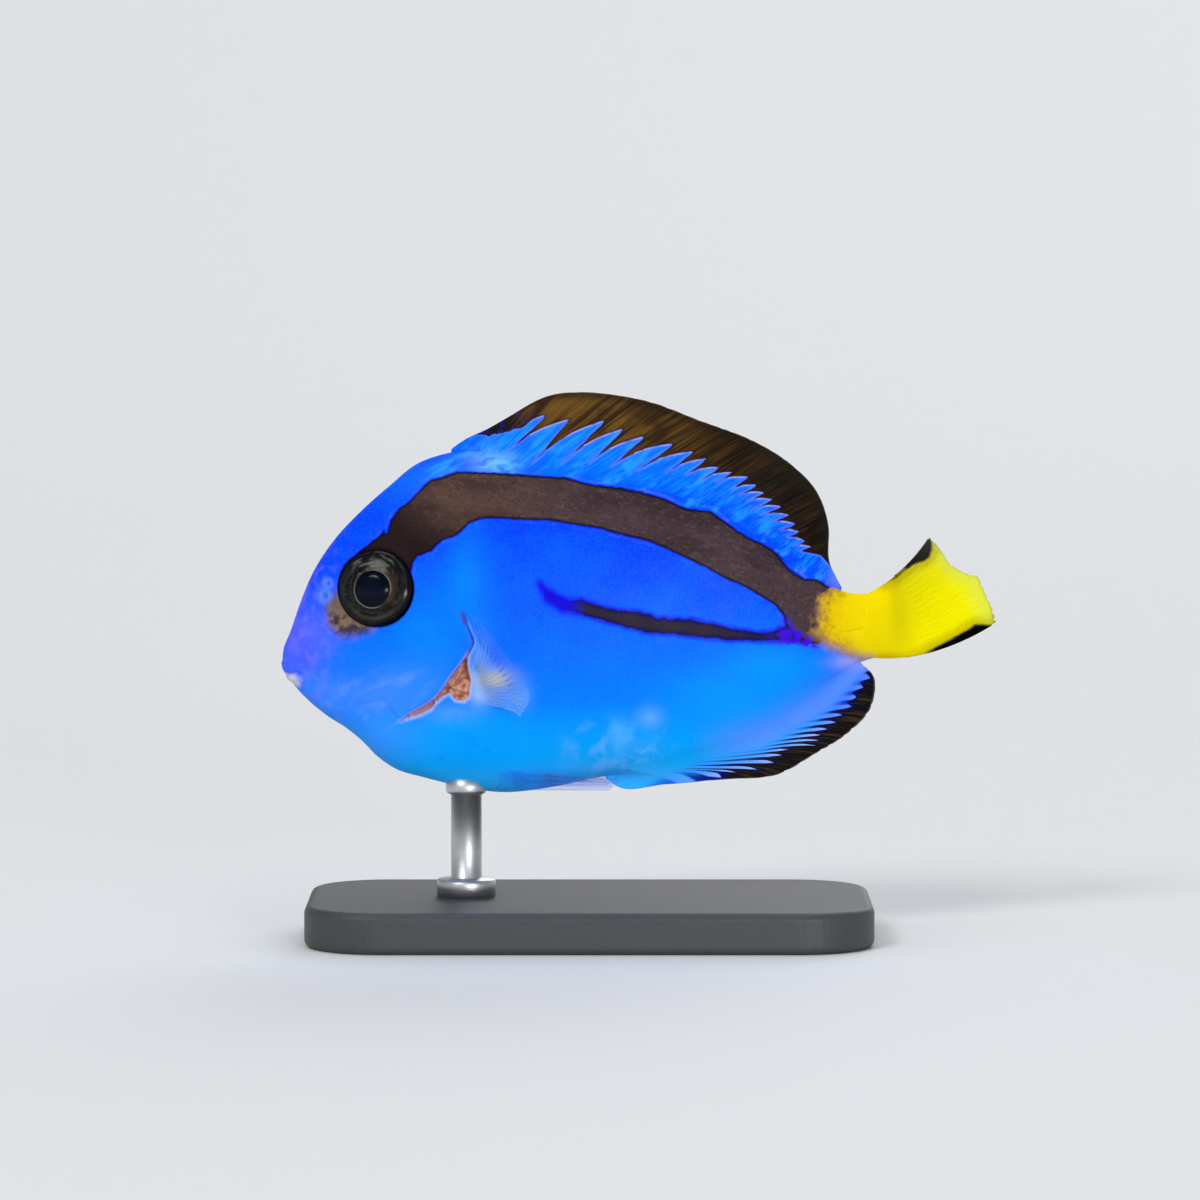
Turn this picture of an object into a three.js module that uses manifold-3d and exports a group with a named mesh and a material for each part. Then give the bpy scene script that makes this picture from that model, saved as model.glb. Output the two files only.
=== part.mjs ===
// A young regal blue tang, Paracanthurus hepatus, as a still, life-size display model on a small stand.
// Millimetres, +Z up. The fish faces -X and shows its left side to -Y, with its tail swung away to +Y.
// The origin is the centre of the stand's underside.
import * as THREE from "three";
import { mergeVertices } from "three/addons/utils/BufferGeometryUtils.js";
import Module from "manifold-3d";

const wasm = await Module();
wasm.setup();

// Places of the fish on its stand. u runs back from the snout, v up from the long axis, side is -1 or 1.
const SNOUT_X = -12;
const AXIS_Z = 12.4;
const GAP = 0.3;
const LEFT = -1;
const RIGHT = 1;
const SHORT_EDGE = 0.02;

// Body: u, v of the back line, u, v of the belly line and the half width at each section, snout to tail root.
const SECTIONS = [
  { back: [0.04, -1.62], belly: [0.27, -2.22], half: 0.3 },
  { back: [0.1, -1.1], belly: [0.62, -2.68], half: 0.58 },
  { back: [0.36, -0.45], belly: [1.12, -3.2], half: 0.86 },
  { back: [0.78, 0.75], belly: [1.8, -3.75], half: 1.16 },
  { back: [1.3, 1.95], belly: [2.5, -4.2], half: 1.42 },
  { back: [2.1, 3.15], belly: [3.12, -4.7], half: 1.66 },
  { back: [3.1, 4.22], belly: [3.75, -5.34], half: 1.88 },
  { back: [4.2, 5.2], belly: [4.5, -5.84], half: 2.08 },
  { back: [5.3, 6.08], belly: [5.54, -6.15], half: 2.26 },
  { back: [6.5, 6.5], belly: [6.91, -6.48], half: 2.4 },
  { back: [8, 6.68], belly: [8.6, -6.73], half: 2.45 },
  { back: [10.08, 6.3], belly: [10.47, -6.54], half: 2.36 },
  { back: [12.4, 6], belly: [12.57, -6.11], half: 2.12 },
  { back: [14.75, 5.56], belly: [14.9, -5.92], half: 1.78 },
  { back: [17, 4.75], belly: [17, -5.35], half: 1.4 },
  { back: [19, 3.45], belly: [18.9, -4.35], half: 1.05 },
  { back: [20.58, 2.02], belly: [20.5, -3.25], half: 0.78 },
  { back: [21.95, 1.05], belly: [21.9, -2.05], half: 0.6 },
  { back: [22.88, 0.97], belly: [22.88, -1.66], half: 0.52 },
  { back: [23.6, 1.3], belly: [23.75, -1.58], half: 0.45 },
];
const RINGS = 46;
const RING_SIDES = 28;
const KEEL = 1.16;
const BELLY_BIAS = 0.08;

// The tail swings to the far side from here back.
const SWING_START = 17;
const SWING_RATE = 0.036;

// Thin cuts: the edge of the gill cover with its lines up to the nape and down to the throat, and the tail base.
const GILL_COVER_EDGE = [
  [7.25, 0.8], [7.42, -0.1], [7.45, -0.85], [7.05, -1.6], [6.62, -2.22], [6.12, -2.75], [5.5, -3.25], [4.67, -3.77],
];
const HEAD_CUT = [[6.2, 7.8], [6.7, 5], [7.1, 2.6], ...GILL_COVER_EDGE, [4.12, -4.6], [3.8, -5.4], [3.6, -6.6]];
const TAIL_CUT = [[21.35, 3], [21.6, 0.6], [21.6, -1.4], [21.35, -4]];
const CUT_REACH = 8;

// Gill slit: a pocket behind the lower gill cover, with a row of gill filaments in it.
// from and to are shares of the gill cover's edge, and u and v its middle.
const GILL = { from: 0.32, to: 0.84, u: 6.9, v: -2.2, width: 0.42, depth: 0.5, bar: 0.22, filaments: 10 };
const GILL_STEPS = 10;
const POCKET = { beyond: 0.05, clear: 0.27, bulge: 0.16, reach: 4 };

// Eye: a shallow dome with a raised pupil, in a socket with a raised rim.
const EYE = { u: 3.755, v: 1.36, radius: 1.44, dome: 0.42, back: 0.62, pupil: 0.7, out: 0.04, sides: 24 };
const EYE_RIM = { thick: 0.15, out: -0.03 };

// Nostrils, two in front of each eye, each a ring with a pit: u, v and radius.
const NOSTRIL_RING = 0.07;
const NOSTRILS = [
  { u: 1.52, v: 1.02, radius: 0.2 },
  { u: 1.68, v: 1.5, radius: 0.15 },
];

// Mouth: the front of each lip, the corner where they meet, the level and height of the slot between them,
// and how thick the lips are and how far they stand proud of the skin.
const MOUTH = { upper: [0.17, -1.74], lower: [0.33, -2.2], corner: [0.72, -2.08], line: -1.98, gape: 0.1 };
const LIP = { thick: 0.19, proud: 0.1, sides: 8, steps: 12 };

// Tail root spine in its groove, one on each side.
const SCALPEL = { u: 22.2, v: -0.35, length: 1.1, width: 0.2, out: 0.16 };

// Fins: thickness of the sheet at its root, near its edge and at its rim, how far a ray stands proud on each face,
// how far the skin between rays is drawn in, and the rows of the sheet from root to edge.
const FIN_ROOT = 0.66;
const FIN_EDGE = 0.5;
const FIN_RIM = 0.26;
const RAY_RIDGE = 0.1;
const FIN_NOTCH = 0.022;
const FIN_ROWS = [0, 0.3, 0.55, 0.78, 0.93, 1];
const ROOT_SUNK = 0.9;

const DORSAL = {
  rays: 28,
  from: 6.7,
  to: 21.5,
  lean: 0.085,
  edge: [
    [6.55, 6.6], [7.2, 7.05], [8, 7.42], [8.85, 7.9], [10.27, 8.68], [11.63, 8.87], [14.24, 8.52], [16.25, 7.78],
    [18.35, 6.98], [19.8, 6.08], [20.83, 5], [21.3, 3.7], [21.34, 2.2], [21.9, 1.1],
  ],
};
const ANAL = {
  rays: 21,
  from: 12.75,
  to: 21.9,
  lean: 0.08,
  edge: [
    [12.55, -6.1], [13.25, -6.58], [14.94, -6.42], [17.35, -6.22], [19.3, -6.07], [20.78, -5.29], [22.1, -4.5],
    [23, -3.54], [23.1, -2.3], [22.55, -1.8],
  ],
};

// Tail fin: u, v and reach to the far side of its root, of the bow of its rays and of its rear edge, top to bottom,
// and how far back and out its edge waves.
const CAUDAL = {
  rays: 16,
  rootThick: 0.8,
  root: [[23.5, 1.3, 0], [23.7, -1.58, 0]],
  bow: [[24.75, 1.95, 1.8], [25.5, -1.83, 0.9]],
  edge: [
    [25.55, 2.78, 5.2], [26.2, 2.2, 4.85], [26.8, 1.75, 4.5],
    [27.5, 1.25, 4.1], [27.88, 0.35, 3.5], [28.08, -0.42, 3],
  ],
  fold: [0.048, -0.108],
};

// Pectoral fin, held out: its root line and the ends of its rays, with how far each reaches out from the axis.
const PECTORAL = {
  rays: 12,
  rootThick: 0.55,
  ridge: 0.06,
  bow: 0.35,
  root: [[7.5, -2], [7.75, -3.05]],
  tips: [[7.45, 0.7, 5.6], [8.55, -0.55, 5.85], [9.3, -1.65, 5.6], [9.7, -2.6, 5], [9.35, -3.4, 4.1]],
  rootOut: 1.6,
};

// Pelvic fin, folded along the belly: u, v and reach out of its upper and lower edge, at the root and at the tip.
const PELVIC = {
  rays: 4,
  upper: [[8.2, -5.75, 1.8], [13.2, -6.15, 1.05]],
  lower: [[8.45, -6.5, 1.2], [12.85, -6.55, 1]],
  rootSunk: 0.8,
};

// Stand
const BASE = { length: 22, width: 12, height: 1.6, corner: 3, bevel: 0.3 };
const ROD = { u: 7.2, top: -5.5, radius: 0.6, sides: 20, foot: 1.15, footHeight: 0.7 };

const COLOURS = {
  blue: 0x1a72f5,
  head: 0x1458f0,
  dark: 0x3a3028,
  yellow: 0xf0de10,
  clear: 0x9fc6d8,
  eye: 0x1c2c36,
  gill: 0xb4887c,
  stand: 0x3a3d42,
};

// Closed geometry to solid, without the flat triangles that a pole leaves.
function solidOf(geometry) {
  const bare = new THREE.BufferGeometry();
  bare.setAttribute("position", geometry.getAttribute("position"));
  bare.setIndex(geometry.index);
  const merged = mergeVertices(bare, 1e-4);
  const corners = [];
  for (let i = 0; i < merged.index.count; i += 3) {
    const [a, b, c] = [0, 1, 2].map((k) => merged.index.getX(i + k));
    if (a !== b && b !== c && c !== a) corners.push(a, b, c);
  }
  const vertProperties = new Float32Array(merged.attributes.position.array);
  return new wasm.Manifold(new wasm.Mesh({ numProp: 3, vertProperties, triVerts: new Uint32Array(corners) }));
}

// Solid back to geometry. A node keeps only its largest closed surface.
function geometryOf(solid) {
  const parts = solid.decompose().sort((a, b) => b.volume() - a.volume());
  const mesh = parts[0].getMesh();
  const spots = [];
  for (let i = 0; i < mesh.vertProperties.length; i += 3)
    spots.push(new THREE.Vector3().fromArray(mesh.vertProperties, i));
  const faces = [];
  for (let i = 0; i < mesh.triVerts.length; i += 3) faces.push(Array.from(mesh.triVerts.subarray(i, i + 3)));
  const index = drawnTogether(spots, faces).flat();
  const geometry = new THREE.BufferGeometry().setFromPoints(spots).setIndex(index);
  geometry.computeVertexNormals();
  return geometry;
}

// Draws the ends of each very short edge together, where the surface stays closed and no face turns over.
function drawnTogether(spots, faces) {
  const touching = spots.map(() => new Set());
  faces.forEach((face, f) => face.forEach((a) => touching[a].add(f)));
  const others = (a) => new Set([...touching[a]].flatMap((f) => faces[f]).filter((b) => b !== a));
  const faceOut = (face) => {
    const [a, b, c] = face.map((i) => spots[i]);
    return b.clone().sub(a).cross(c.clone().sub(a));
  };
  const canJoin = (a, b) => {
    const near = others(b);
    if ([...others(a)].filter((c) => near.has(c)).length !== 2) return false;
    return [...touching[b]].every((f) => {
      if (faces[f].includes(a)) return true;
      const moved = faceOut(faces[f].map((c) => (c === b ? a : c)));
      return moved.length() > 1e-7 && moved.dot(faceOut(faces[f])) > 0;
    });
  };
  const join = (a, b) => {
    for (const f of touching[b]) {
      if (faces[f].includes(a)) {
        for (const c of faces[f]) if (c !== b) touching[c].delete(f);
        faces[f] = null;
      } else {
        faces[f] = faces[f].map((c) => (c === b ? a : c));
        touching[a].add(f);
      }
    }
    touching[b].clear();
  };
  for (let joined = true; joined; ) {
    joined = false;
    for (let f = 0; f < faces.length; f += 1)
      for (const [i, j] of [[0, 1], [1, 2], [2, 0], [1, 0], [2, 1], [0, 2]]) {
        if (!faces[f]) break;
        const [a, b] = [faces[f][i], faces[f][j]];
        if (spots[a].distanceTo(spots[b]) < SHORT_EDGE && canJoin(a, b)) {
          join(a, b);
          joined = true;
        }
      }
  }
  return faces.filter((face) => face);
}

function swing(u) {
  const past = Math.max(0, u - SWING_START);
  return SWING_RATE * past * past;
}

function at(u, v, out) {
  return new THREE.Vector3(u, out + swing(u), v);
}

// A smooth line through u, v points.
function line(points) {
  return new THREE.CatmullRomCurve3(points.map(([u, v]) => new THREE.Vector3(u, 0, v)));
}

const backLine = line(SECTIONS.map((section) => section.back));
const bellyLine = line(SECTIONS.map((section) => section.belly));
const halfLine = line(SECTIONS.map((section) => [(section.back[0] + section.belly[0]) / 2, section.half]));

// Point of a line moved off it by grow, to the left of its run for turn 1 and to the right for -1.
function beside(curve, t, grow, turn) {
  const along = curve.getTangent(t);
  return curve.getPoint(t).add(new THREE.Vector3(-along.z * turn, 0, along.x * turn).multiplyScalar(grow));
}

// The height of a line at a given u.
function heightAt(curve, u) {
  let low = 0;
  let high = 1;
  for (let i = 0; i < 30; i += 1) {
    const middle = (low + high) / 2;
    if (curve.getPoint(middle).x < u) low = middle;
    else high = middle;
  }
  return curve.getPoint(low).z;
}

function halfAt(u) {
  return heightAt(halfLine, u);
}

// One ring of the body, lens-shaped, with its widest level a little below the middle.
function bodyRing(t, grow) {
  const back = beside(backLine, t, grow, 1);
  const belly = beside(bellyLine, t, grow, -1);
  const half = halfLine.getPoint(t).z + grow;
  const shift = t === 0 ? -grow : t === 1 ? grow : 0;
  const ring = [];
  for (let i = 0; i < RING_SIDES; i += 1) {
    const angle = (i / RING_SIDES) * 2 * Math.PI;
    const rise = Math.sin(angle);
    const share = 0.5 + 0.5 * (rise - BELLY_BIAS * (1 - rise * rise));
    const spot = belly.clone().lerp(back, share);
    const wide = Math.sign(Math.cos(angle)) * Math.abs(Math.cos(angle)) ** KEEL;
    ring.push(at(spot.x + shift, spot.z, half * wide));
  }
  return ring;
}

// Half the body's thickness at a place on its side, and zero off it.
function flank(u, v) {
  const top = heightAt(backLine, u);
  const bottom = heightAt(bellyLine, u);
  const level = (2 * v - top - bottom) / (top - bottom);
  const rise = level + BELLY_BIAS * (1 - level * level);
  return Math.abs(rise) < 1 ? halfAt(u) * (1 - rise * rise) ** (KEEL / 2) : 0;
}

// Closed skin through rings of equal count, with a fan over each end.
function skin(rings) {
  const sides = rings[0].length;
  const spots = rings.flat();
  const index = [];
  for (let r = 0; r + 1 < rings.length; r += 1)
    for (let i = 0; i < sides; i += 1) {
      const [a, b] = [r * sides + i, r * sides + ((i + 1) % sides)];
      index.push(a, b, b + sides, a, b + sides, a + sides);
    }
  for (const [ring, flip] of [[0, false], [rings.length - 1, true]]) {
    const hub = spots.length;
    spots.push(rings[ring].reduce((sum, p) => sum.add(p), new THREE.Vector3()).divideScalar(sides));
    for (let i = 0; i < sides; i += 1) {
      const [a, b] = [ring * sides + i, ring * sides + ((i + 1) % sides)];
      index.push(...(flip ? [hub, a, b] : [hub, b, a]));
    }
  }
  return new THREE.BufferGeometry().setFromPoints(spots).setIndex(index);
}

function bodySolid(grow) {
  const rings = [];
  for (let i = 0; i <= RINGS; i += 1) rings.push(bodyRing(i / RINGS, grow));
  return solidOf(skin(rings));
}

// A curved wall across the whole body that parts two nodes.
function cutWall(points, thickness) {
  const curve = line(points);
  const steps = points.length * 3;
  const ts = Array.from({ length: steps + 1 }, (_, i) => i / steps);
  const front = ts.map((t) => beside(curve, t, thickness / 2, 1));
  const rear = ts.map((t) => beside(curve, t, thickness / 2, -1)).reverse();
  return plateAcross([...front, ...rear], -CUT_REACH, CUT_REACH);
}

// An outline in u, v carried across the fish from one y to another.
function plateAcross(outline, fromY, toY) {
  const shape = new THREE.Shape(outline.map((p) => new THREE.Vector2(p.x, p.z)));
  const plate = new THREE.ExtrudeGeometry(shape, { depth: toY - fromY, bevelEnabled: false });
  return solidOf(plate.rotateX(Math.PI / 2).translate(0, toY, 0));
}

// A fin: a sheet of two like faces over surface(across, along), with a ridge down each ray
// and the edge drawn in a little between them.
function finSolid({ rays, surface, rootThick = FIN_ROOT, ridge = RAY_RIDGE, notch = FIN_NOTCH }) {
  const columns = 2 * rays - 1;
  const faces = [[], []];
  for (let c = 0; c < columns; c += 1)
    for (const row of FIN_ROWS) {
      const across = c / (columns - 1);
      const onRay = c % 2 === 0;
      const along = row * (onRay ? 1 : 1 - notch);
      const middle = surface(across, along);
      const step = 0.01;
      const toEdge = surface(across, Math.min(1, along + step)).sub(surface(across, Math.max(0, along - step)));
      const toRear = surface(Math.min(1, across + step), along).sub(surface(Math.max(0, across - step), along));
      const normal = toEdge.cross(toRear).normalize();
      const sheet = row === 1 ? FIN_RIM : THREE.MathUtils.lerp(rootThick, FIN_EDGE, row);
      const proud = onRay ? ridge * (1 - 0.6 * row) : 0;
      faces[0].push(middle.clone().addScaledVector(normal, sheet / 2 + proud));
      faces[1].push(middle.clone().addScaledVector(normal, -sheet / 2 - proud));
    }
  return solidOf(sheetGeometry(faces, columns, FIN_ROWS.length));
}

// Two like grids joined round their rim.
function sheetGeometry(faces, columns, rows) {
  const far = columns * rows;
  const index = [];
  for (let c = 0; c + 1 < columns; c += 1)
    for (let r = 0; r + 1 < rows; r += 1) {
      const [a, b, d, e] = [c * rows + r, (c + 1) * rows + r, (c + 1) * rows + r + 1, c * rows + r + 1];
      index.push(a, b, d, a, d, e, far + a, far + d, far + b, far + a, far + e, far + d);
    }
  const rim = [];
  for (let c = 0; c < columns; c += 1) rim.push(c * rows);
  for (let r = 1; r < rows; r += 1) rim.push((columns - 1) * rows + r);
  for (let c = columns - 2; c >= 0; c -= 1) rim.push(c * rows + rows - 1);
  for (let r = rows - 2; r > 0; r -= 1) rim.push(r);
  rim.forEach((a, i) => {
    const b = rim[(i + 1) % rim.length];
    index.push(a, far + a, far + b, a, far + b, b);
  });
  const geometry = new THREE.BufferGeometry().setFromPoints(faces.flat()).setIndex(index);
  return outwards(geometry);
}

// Turns a closed geometry's faces outwards where they point in.
function outwards(geometry) {
  const spots = geometry.getAttribute("position");
  const index = geometry.index.array;
  const [a, b, c] = [new THREE.Vector3(), new THREE.Vector3(), new THREE.Vector3()];
  let volume = 0;
  for (let i = 0; i < index.length; i += 3) {
    [a, b, c].forEach((p, k) => p.fromBufferAttribute(spots, index[i + k]));
    volume += a.dot(b.cross(c));
  }
  if (volume < 0) geometry.setIndex(Array.from(index).reverse());
  return geometry;
}

// Middle fins: their rays run from the body's outline to their edge and lean back.
function middleFin(plan, bodyLine, outward) {
  const edge = line(plan.edge);
  const inset = 0.03;
  return finSolid({
    rays: plan.rays,
    surface(across, along) {
      const u = THREE.MathUtils.lerp(plan.from, plan.to, across);
      const root = new THREE.Vector3(u, 0, heightAt(bodyLine, u) - outward * ROOT_SUNK);
      const share = inset + (1 - 2 * inset) * across + plan.lean * Math.sin(Math.PI * across);
      const spot = root.lerp(edge.getPointAt(share), along);
      return at(spot.x, spot.z, 0);
    },
  });
}

function caudalSolid() {
  const spotOf = ([u, v, away]) => new THREE.Vector3(u, away + swing(CAUDAL.root[0][0]), v);
  const curveOf = (points) => new THREE.CatmullRomCurve3(points.map(spotOf));
  const [roots, bows, ends] = [CAUDAL.root, CAUDAL.bow, CAUDAL.edge].map(curveOf);
  return finSolid({
    rays: CAUDAL.rays,
    rootThick: CAUDAL.rootThick,
    surface(across, along) {
      const [root, bow, end] = [roots.getPoint(across), bows.getPoint(across), ends.getPointAt(across)];
      const ray = new THREE.QuadraticBezierCurve3(root, bow, end);
      const wave = along * along * Math.sin(3 * Math.PI * across);
      return ray.getPoint(along).add(new THREE.Vector3(...CAUDAL.fold, 0).multiplyScalar(wave));
    },
  });
}

function pectoralSolid(side) {
  const tips = new THREE.CatmullRomCurve3(PECTORAL.tips.map(([u, v, out]) => new THREE.Vector3(u, out, v)));
  return finSolid({
    rays: PECTORAL.rays,
    rootThick: PECTORAL.rootThick,
    ridge: PECTORAL.ridge,
    surface(across, along) {
      const [first, last] = PECTORAL.root.map(([u, v]) => new THREE.Vector3(u, PECTORAL.rootOut, v));
      const spot = first.lerp(last, across).lerp(tips.getPointAt(across), along);
      const bow = PECTORAL.bow * Math.sin(Math.PI * along);
      return at(spot.x + bow, spot.z, side * spot.y);
    },
  });
}

function pelvicSolid(side) {
  return finSolid({
    rays: PELVIC.rays,
    rootThick: FIN_EDGE,
    surface(across, along) {
      const [upper, lower] = [PELVIC.upper, PELVIC.lower].map(([root, tip]) =>
        new THREE.Vector3(...root).lerp(new THREE.Vector3(...tip), along),
      );
      const spot = lower.lerp(upper, across);
      const sunk = PELVIC.rootSunk * Math.max(0, 1 - along / 0.3);
      return at(spot.x, spot.y, side * (spot.z - sunk));
    },
  });
}

// Where something of a given size sits on the fish's side: its place and the skin's outward direction there.
function spotOnSide({ u, v, radius }, side) {
  const skin = (du, dv) => at(u + du, v + dv, side * flank(u + du, v + dv));
  const ahead = skin(radius, 0).sub(skin(-radius, 0));
  const above = skin(0, radius).sub(skin(0, -radius));
  return { spot: skin(0, 0), out: above.cross(ahead).multiplyScalar(side).normalize() };
}

// A turned form that faces outwards along a direction.
function facing(geometry, spot, out) {
  const turn = new THREE.Quaternion().setFromUnitVectors(new THREE.Vector3(0, 1, 0), out);
  return geometry.applyQuaternion(turn).translate(spot.x, spot.y, spot.z);
}

function eyeForm(side, grow) {
  const { radius, dome, back, pupil, sides } = EYE;
  const profile = [[0, -back - grow], [radius * 0.8 + grow, -back - grow], [radius + grow, -0.1]];
  for (const share of [0.2, 0.45, 0.7]) profile.push([radius * Math.cos(share) + grow, dome * Math.sin(share)]);
  profile.push([pupil + grow, dome * 0.82 + grow], [pupil * 0.86, dome + grow], [pupil * 0.45, dome * 1.12 + grow]);
  profile.push([0, dome * 1.18 + grow]);
  const lathe = new THREE.LatheGeometry(profile.map(([r, h]) => new THREE.Vector2(r, h)), sides);
  const { spot, out } = spotOnSide(EYE, side);
  return facing(lathe, spot.addScaledVector(out, EYE.out), out);
}

function eyeRim(side) {
  const radius = EYE.radius + GAP + EYE_RIM.thick * 0.6;
  const ring = new THREE.TorusGeometry(radius, EYE_RIM.thick, 5, EYE.sides).rotateX(Math.PI / 2);
  const { spot, out } = spotOnSide(EYE, side);
  return solidOf(facing(ring, spot.addScaledVector(out, EYE_RIM.out), out));
}

function nostril(place, side) {
  const { spot, out } = spotOnSide(place, side);
  const ring = new THREE.TorusGeometry(place.radius, NOSTRIL_RING, 4, 9).rotateX(Math.PI / 2);
  const pit = new THREE.CylinderGeometry(place.radius * 0.8, place.radius * 0.5, 0.5, 9);
  return { ring: solidOf(facing(ring, spot, out)), pit: solidOf(facing(pit, spot, out)) };
}

// A lip is a tapering tube that runs in the skin from one corner of the mouth round the front to the other.
function lipSolid(front) {
  const { thick, proud, sides, steps } = LIP;
  const spots = [-1, -0.8, -0.5, 0, 0.5, 0.8, 1].map((share) => {
    const back = 1 - Math.cos((share * Math.PI) / 2);
    const u = THREE.MathUtils.lerp(front[0], MOUTH.corner[0], back);
    const v = THREE.MathUtils.lerp(front[1], MOUTH.corner[1], back);
    return new THREE.Vector3(u, Math.sign(share) * (flank(u, v) + proud - thick), v);
  });
  const path = new THREE.CatmullRomCurve3(spots);
  const up = new THREE.Vector3(0, 0, 1);
  const rings = [];
  for (let i = 0; i <= steps; i += 1) {
    const t = i / steps;
    const radius = thick * (0.55 + 0.45 * Math.sin(Math.PI * t));
    const aside = new THREE.Vector3().crossVectors(path.getTangent(t), up).normalize();
    const ring = [];
    for (let k = 0; k < sides; k += 1) {
      const angle = (k / sides) * 2 * Math.PI;
      const spot = path.getPoint(t).addScaledVector(aside, radius * Math.cos(angle));
      ring.push(spot.addScaledVector(up, radius * Math.sin(angle)));
    }
    rings.push(ring);
  }
  return solidOf(outwards(skin(rings)));
}

// The line of the mouth: a thin slot between the lips that ends a little behind their corners.
function mouthSlot() {
  const { corner, line: level, gape } = MOUTH;
  const half = flank(corner[0], corner[1]);
  const slot = new THREE.CylinderGeometry(half, half, gape, 20).rotateX(Math.PI / 2);
  return solidOf(slot.translate(corner[0] - half * 0.3, 0, level));
}

// The spine lies in a shallow groove and points forward.
function scalpel(side) {
  const { u, v, length, width, out } = SCALPEL;
  const spot = at(u, v, side * (flank(u, v) - 0.12));
  const slope = Math.atan(2 * SWING_RATE * (u - SWING_START));
  const blade = new THREE.ConeGeometry(width, length, 6).rotateZ(Math.PI / 2).scale(1, (out + 0.12) / width, 1);
  return solidOf(blade.rotateZ(slope).translate(spot.x, spot.y, spot.z));
}

const gillEdge = line(GILL_COVER_EDGE);

// The line beside the gill cover's edge at a distance that depends on the share of the way along the slit.
function besideGillEdge(distance, beyond) {
  return Array.from({ length: GILL_STEPS + 1 }, (_, i) => {
    const share = i / GILL_STEPS;
    const t = THREE.MathUtils.lerp(GILL.from - beyond, GILL.to + beyond, share);
    return beside(gillEdge, t, distance(share), 1);
  });
}

// The pocket is widest in its middle.
function gillPocket(side) {
  const { beyond, clear, bulge, reach } = POCKET;
  const rear = besideGillEdge((share) => GILL.width + clear + bulge * Math.sin(Math.PI * share), beyond);
  const front = besideGillEdge(() => -GAP / 6, beyond);
  const inner = flank(GILL.u, GILL.v) - GILL.depth - GAP;
  const [from, to] = side < 0 ? [-reach, -inner] : [inner, reach];
  return plateAcross([...rear, ...front.reverse()], from, to);
}

// Gill: a bowed bar with a row of tapering filaments standing out from it.
function gillSolid(side) {
  const base = flank(GILL.u, GILL.v) - GILL.depth;
  const near = besideGillEdge(() => GAP / 2, 0);
  const far = besideGillEdge(() => GAP / 2 + GILL.width, 0);
  const bar = near.map((p, i) => {
    const corners = [[p, base], [far[i], base], [far[i], base + GILL.bar], [p, base + GILL.bar]];
    return corners.map(([q, out]) => at(q.x, q.z, side * out));
  });
  let gill = solidOf(outwards(skin(bar)));
  for (let i = 0; i < GILL.filaments; i += 1) {
    const t = THREE.MathUtils.lerp(GILL.from + 0.02, GILL.to - 0.02, i / (GILL.filaments - 1));
    const foot = beside(gillEdge, t, (GAP + GILL.width) / 2, 1);
    const along = gillEdge.getTangent(t);
    const blade = new THREE.CylinderGeometry(0.5, 0.9, GILL.depth, 6).scale(GILL.width / 2, 1, 0.1);
    blade.rotateY(-Math.atan2(along.z, along.x) - Math.PI / 2).rotateX((side * Math.PI) / 2);
    gill = gill.add(solidOf(blade.translate(foot.x, side * (base + 0.08 + GILL.depth / 2), foot.z)));
  }
  return gill;
}

function baseGeometry() {
  const { length, width, height, corner, bevel } = BASE;
  const [x, y] = [length / 2 - bevel, width / 2 - bevel];
  const shape = new THREE.Shape();
  const corners = [[x, y, 0], [-x, y, 1], [-x, -y, 2], [x, -y, 3]];
  for (const [cx, cy, quarter] of corners) {
    const [mx, my] = [cx - Math.sign(cx) * corner, cy - Math.sign(cy) * corner];
    shape.absarc(mx, my, corner, (quarter * Math.PI) / 2, ((quarter + 1) * Math.PI) / 2);
  }
  const depth = height - 2 * bevel;
  const settings = { depth, bevelEnabled: true, bevelSize: bevel, bevelThickness: bevel, bevelSegments: 1 };
  return new THREE.ExtrudeGeometry(shape, { ...settings, curveSegments: 6 }).translate(0, 0, bevel);
}

// The rod stands on a low foot and ends face to face with the breast.
function rodGeometry(grownBody) {
  const { u, top, radius, sides, foot, footHeight } = ROD;
  const low = BASE.height + GAP - AXIS_Z;
  const profile = [[0, low], [foot, low], [foot, low + footHeight * 0.6], [foot * 0.8, low + footHeight]];
  profile.push([radius, low + footHeight], [radius, top], [0, top]);
  const rod = new THREE.LatheGeometry(profile.map(([r, h]) => new THREE.Vector2(r, h)), sides);
  return geometryOf(solidOf(rod.rotateX(Math.PI / 2).translate(u, 0, 0)).subtract(grownBody));
}

function named(name, geometry, colour, roughness) {
  const material = new THREE.MeshStandardMaterial({ color: colour, roughness, metalness: 0 });
  const mesh = new THREE.Mesh(geometry, material);
  mesh.name = name;
  return mesh;
}

// The piece of a parted body that holds a given stretch of u.
function pieceAt(solid, u) {
  return solid.decompose().sort((a, b) => b.volume() - a.volume()).slice(0, 3).find((part) => {
    const { min, max } = part.boundingBox();
    return min[0] < u && max[0] > u;
  });
}

const body = bodySolid(0);
const grownBody = bodySolid(GAP);
const parted = body.subtract(cutWall(HEAD_CUT, GAP)).subtract(cutWall(TAIL_CUT, GAP));

function headSolid() {
  let head = pieceAt(parted, 1);
  for (const side of [LEFT, RIGHT]) head = head.add(eyeRim(side)).subtract(solidOf(eyeForm(side, GAP)));
  for (const front of [MOUTH.upper, MOUTH.lower]) head = head.add(lipSolid(front));
  head = head.subtract(mouthSlot());
  for (const side of [LEFT, RIGHT])
    for (const place of NOSTRILS) {
      const { ring, pit } = nostril(place, side);
      head = head.add(ring).subtract(pit);
    }
  return head;
}

function trunkSolid() {
  return pieceAt(parted, 12).subtract(gillPocket(LEFT)).subtract(gillPocket(RIGHT));
}

function tailBaseSolid() {
  return pieceAt(parted, 22.6).add(scalpel(LEFT)).add(scalpel(RIGHT));
}

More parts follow.
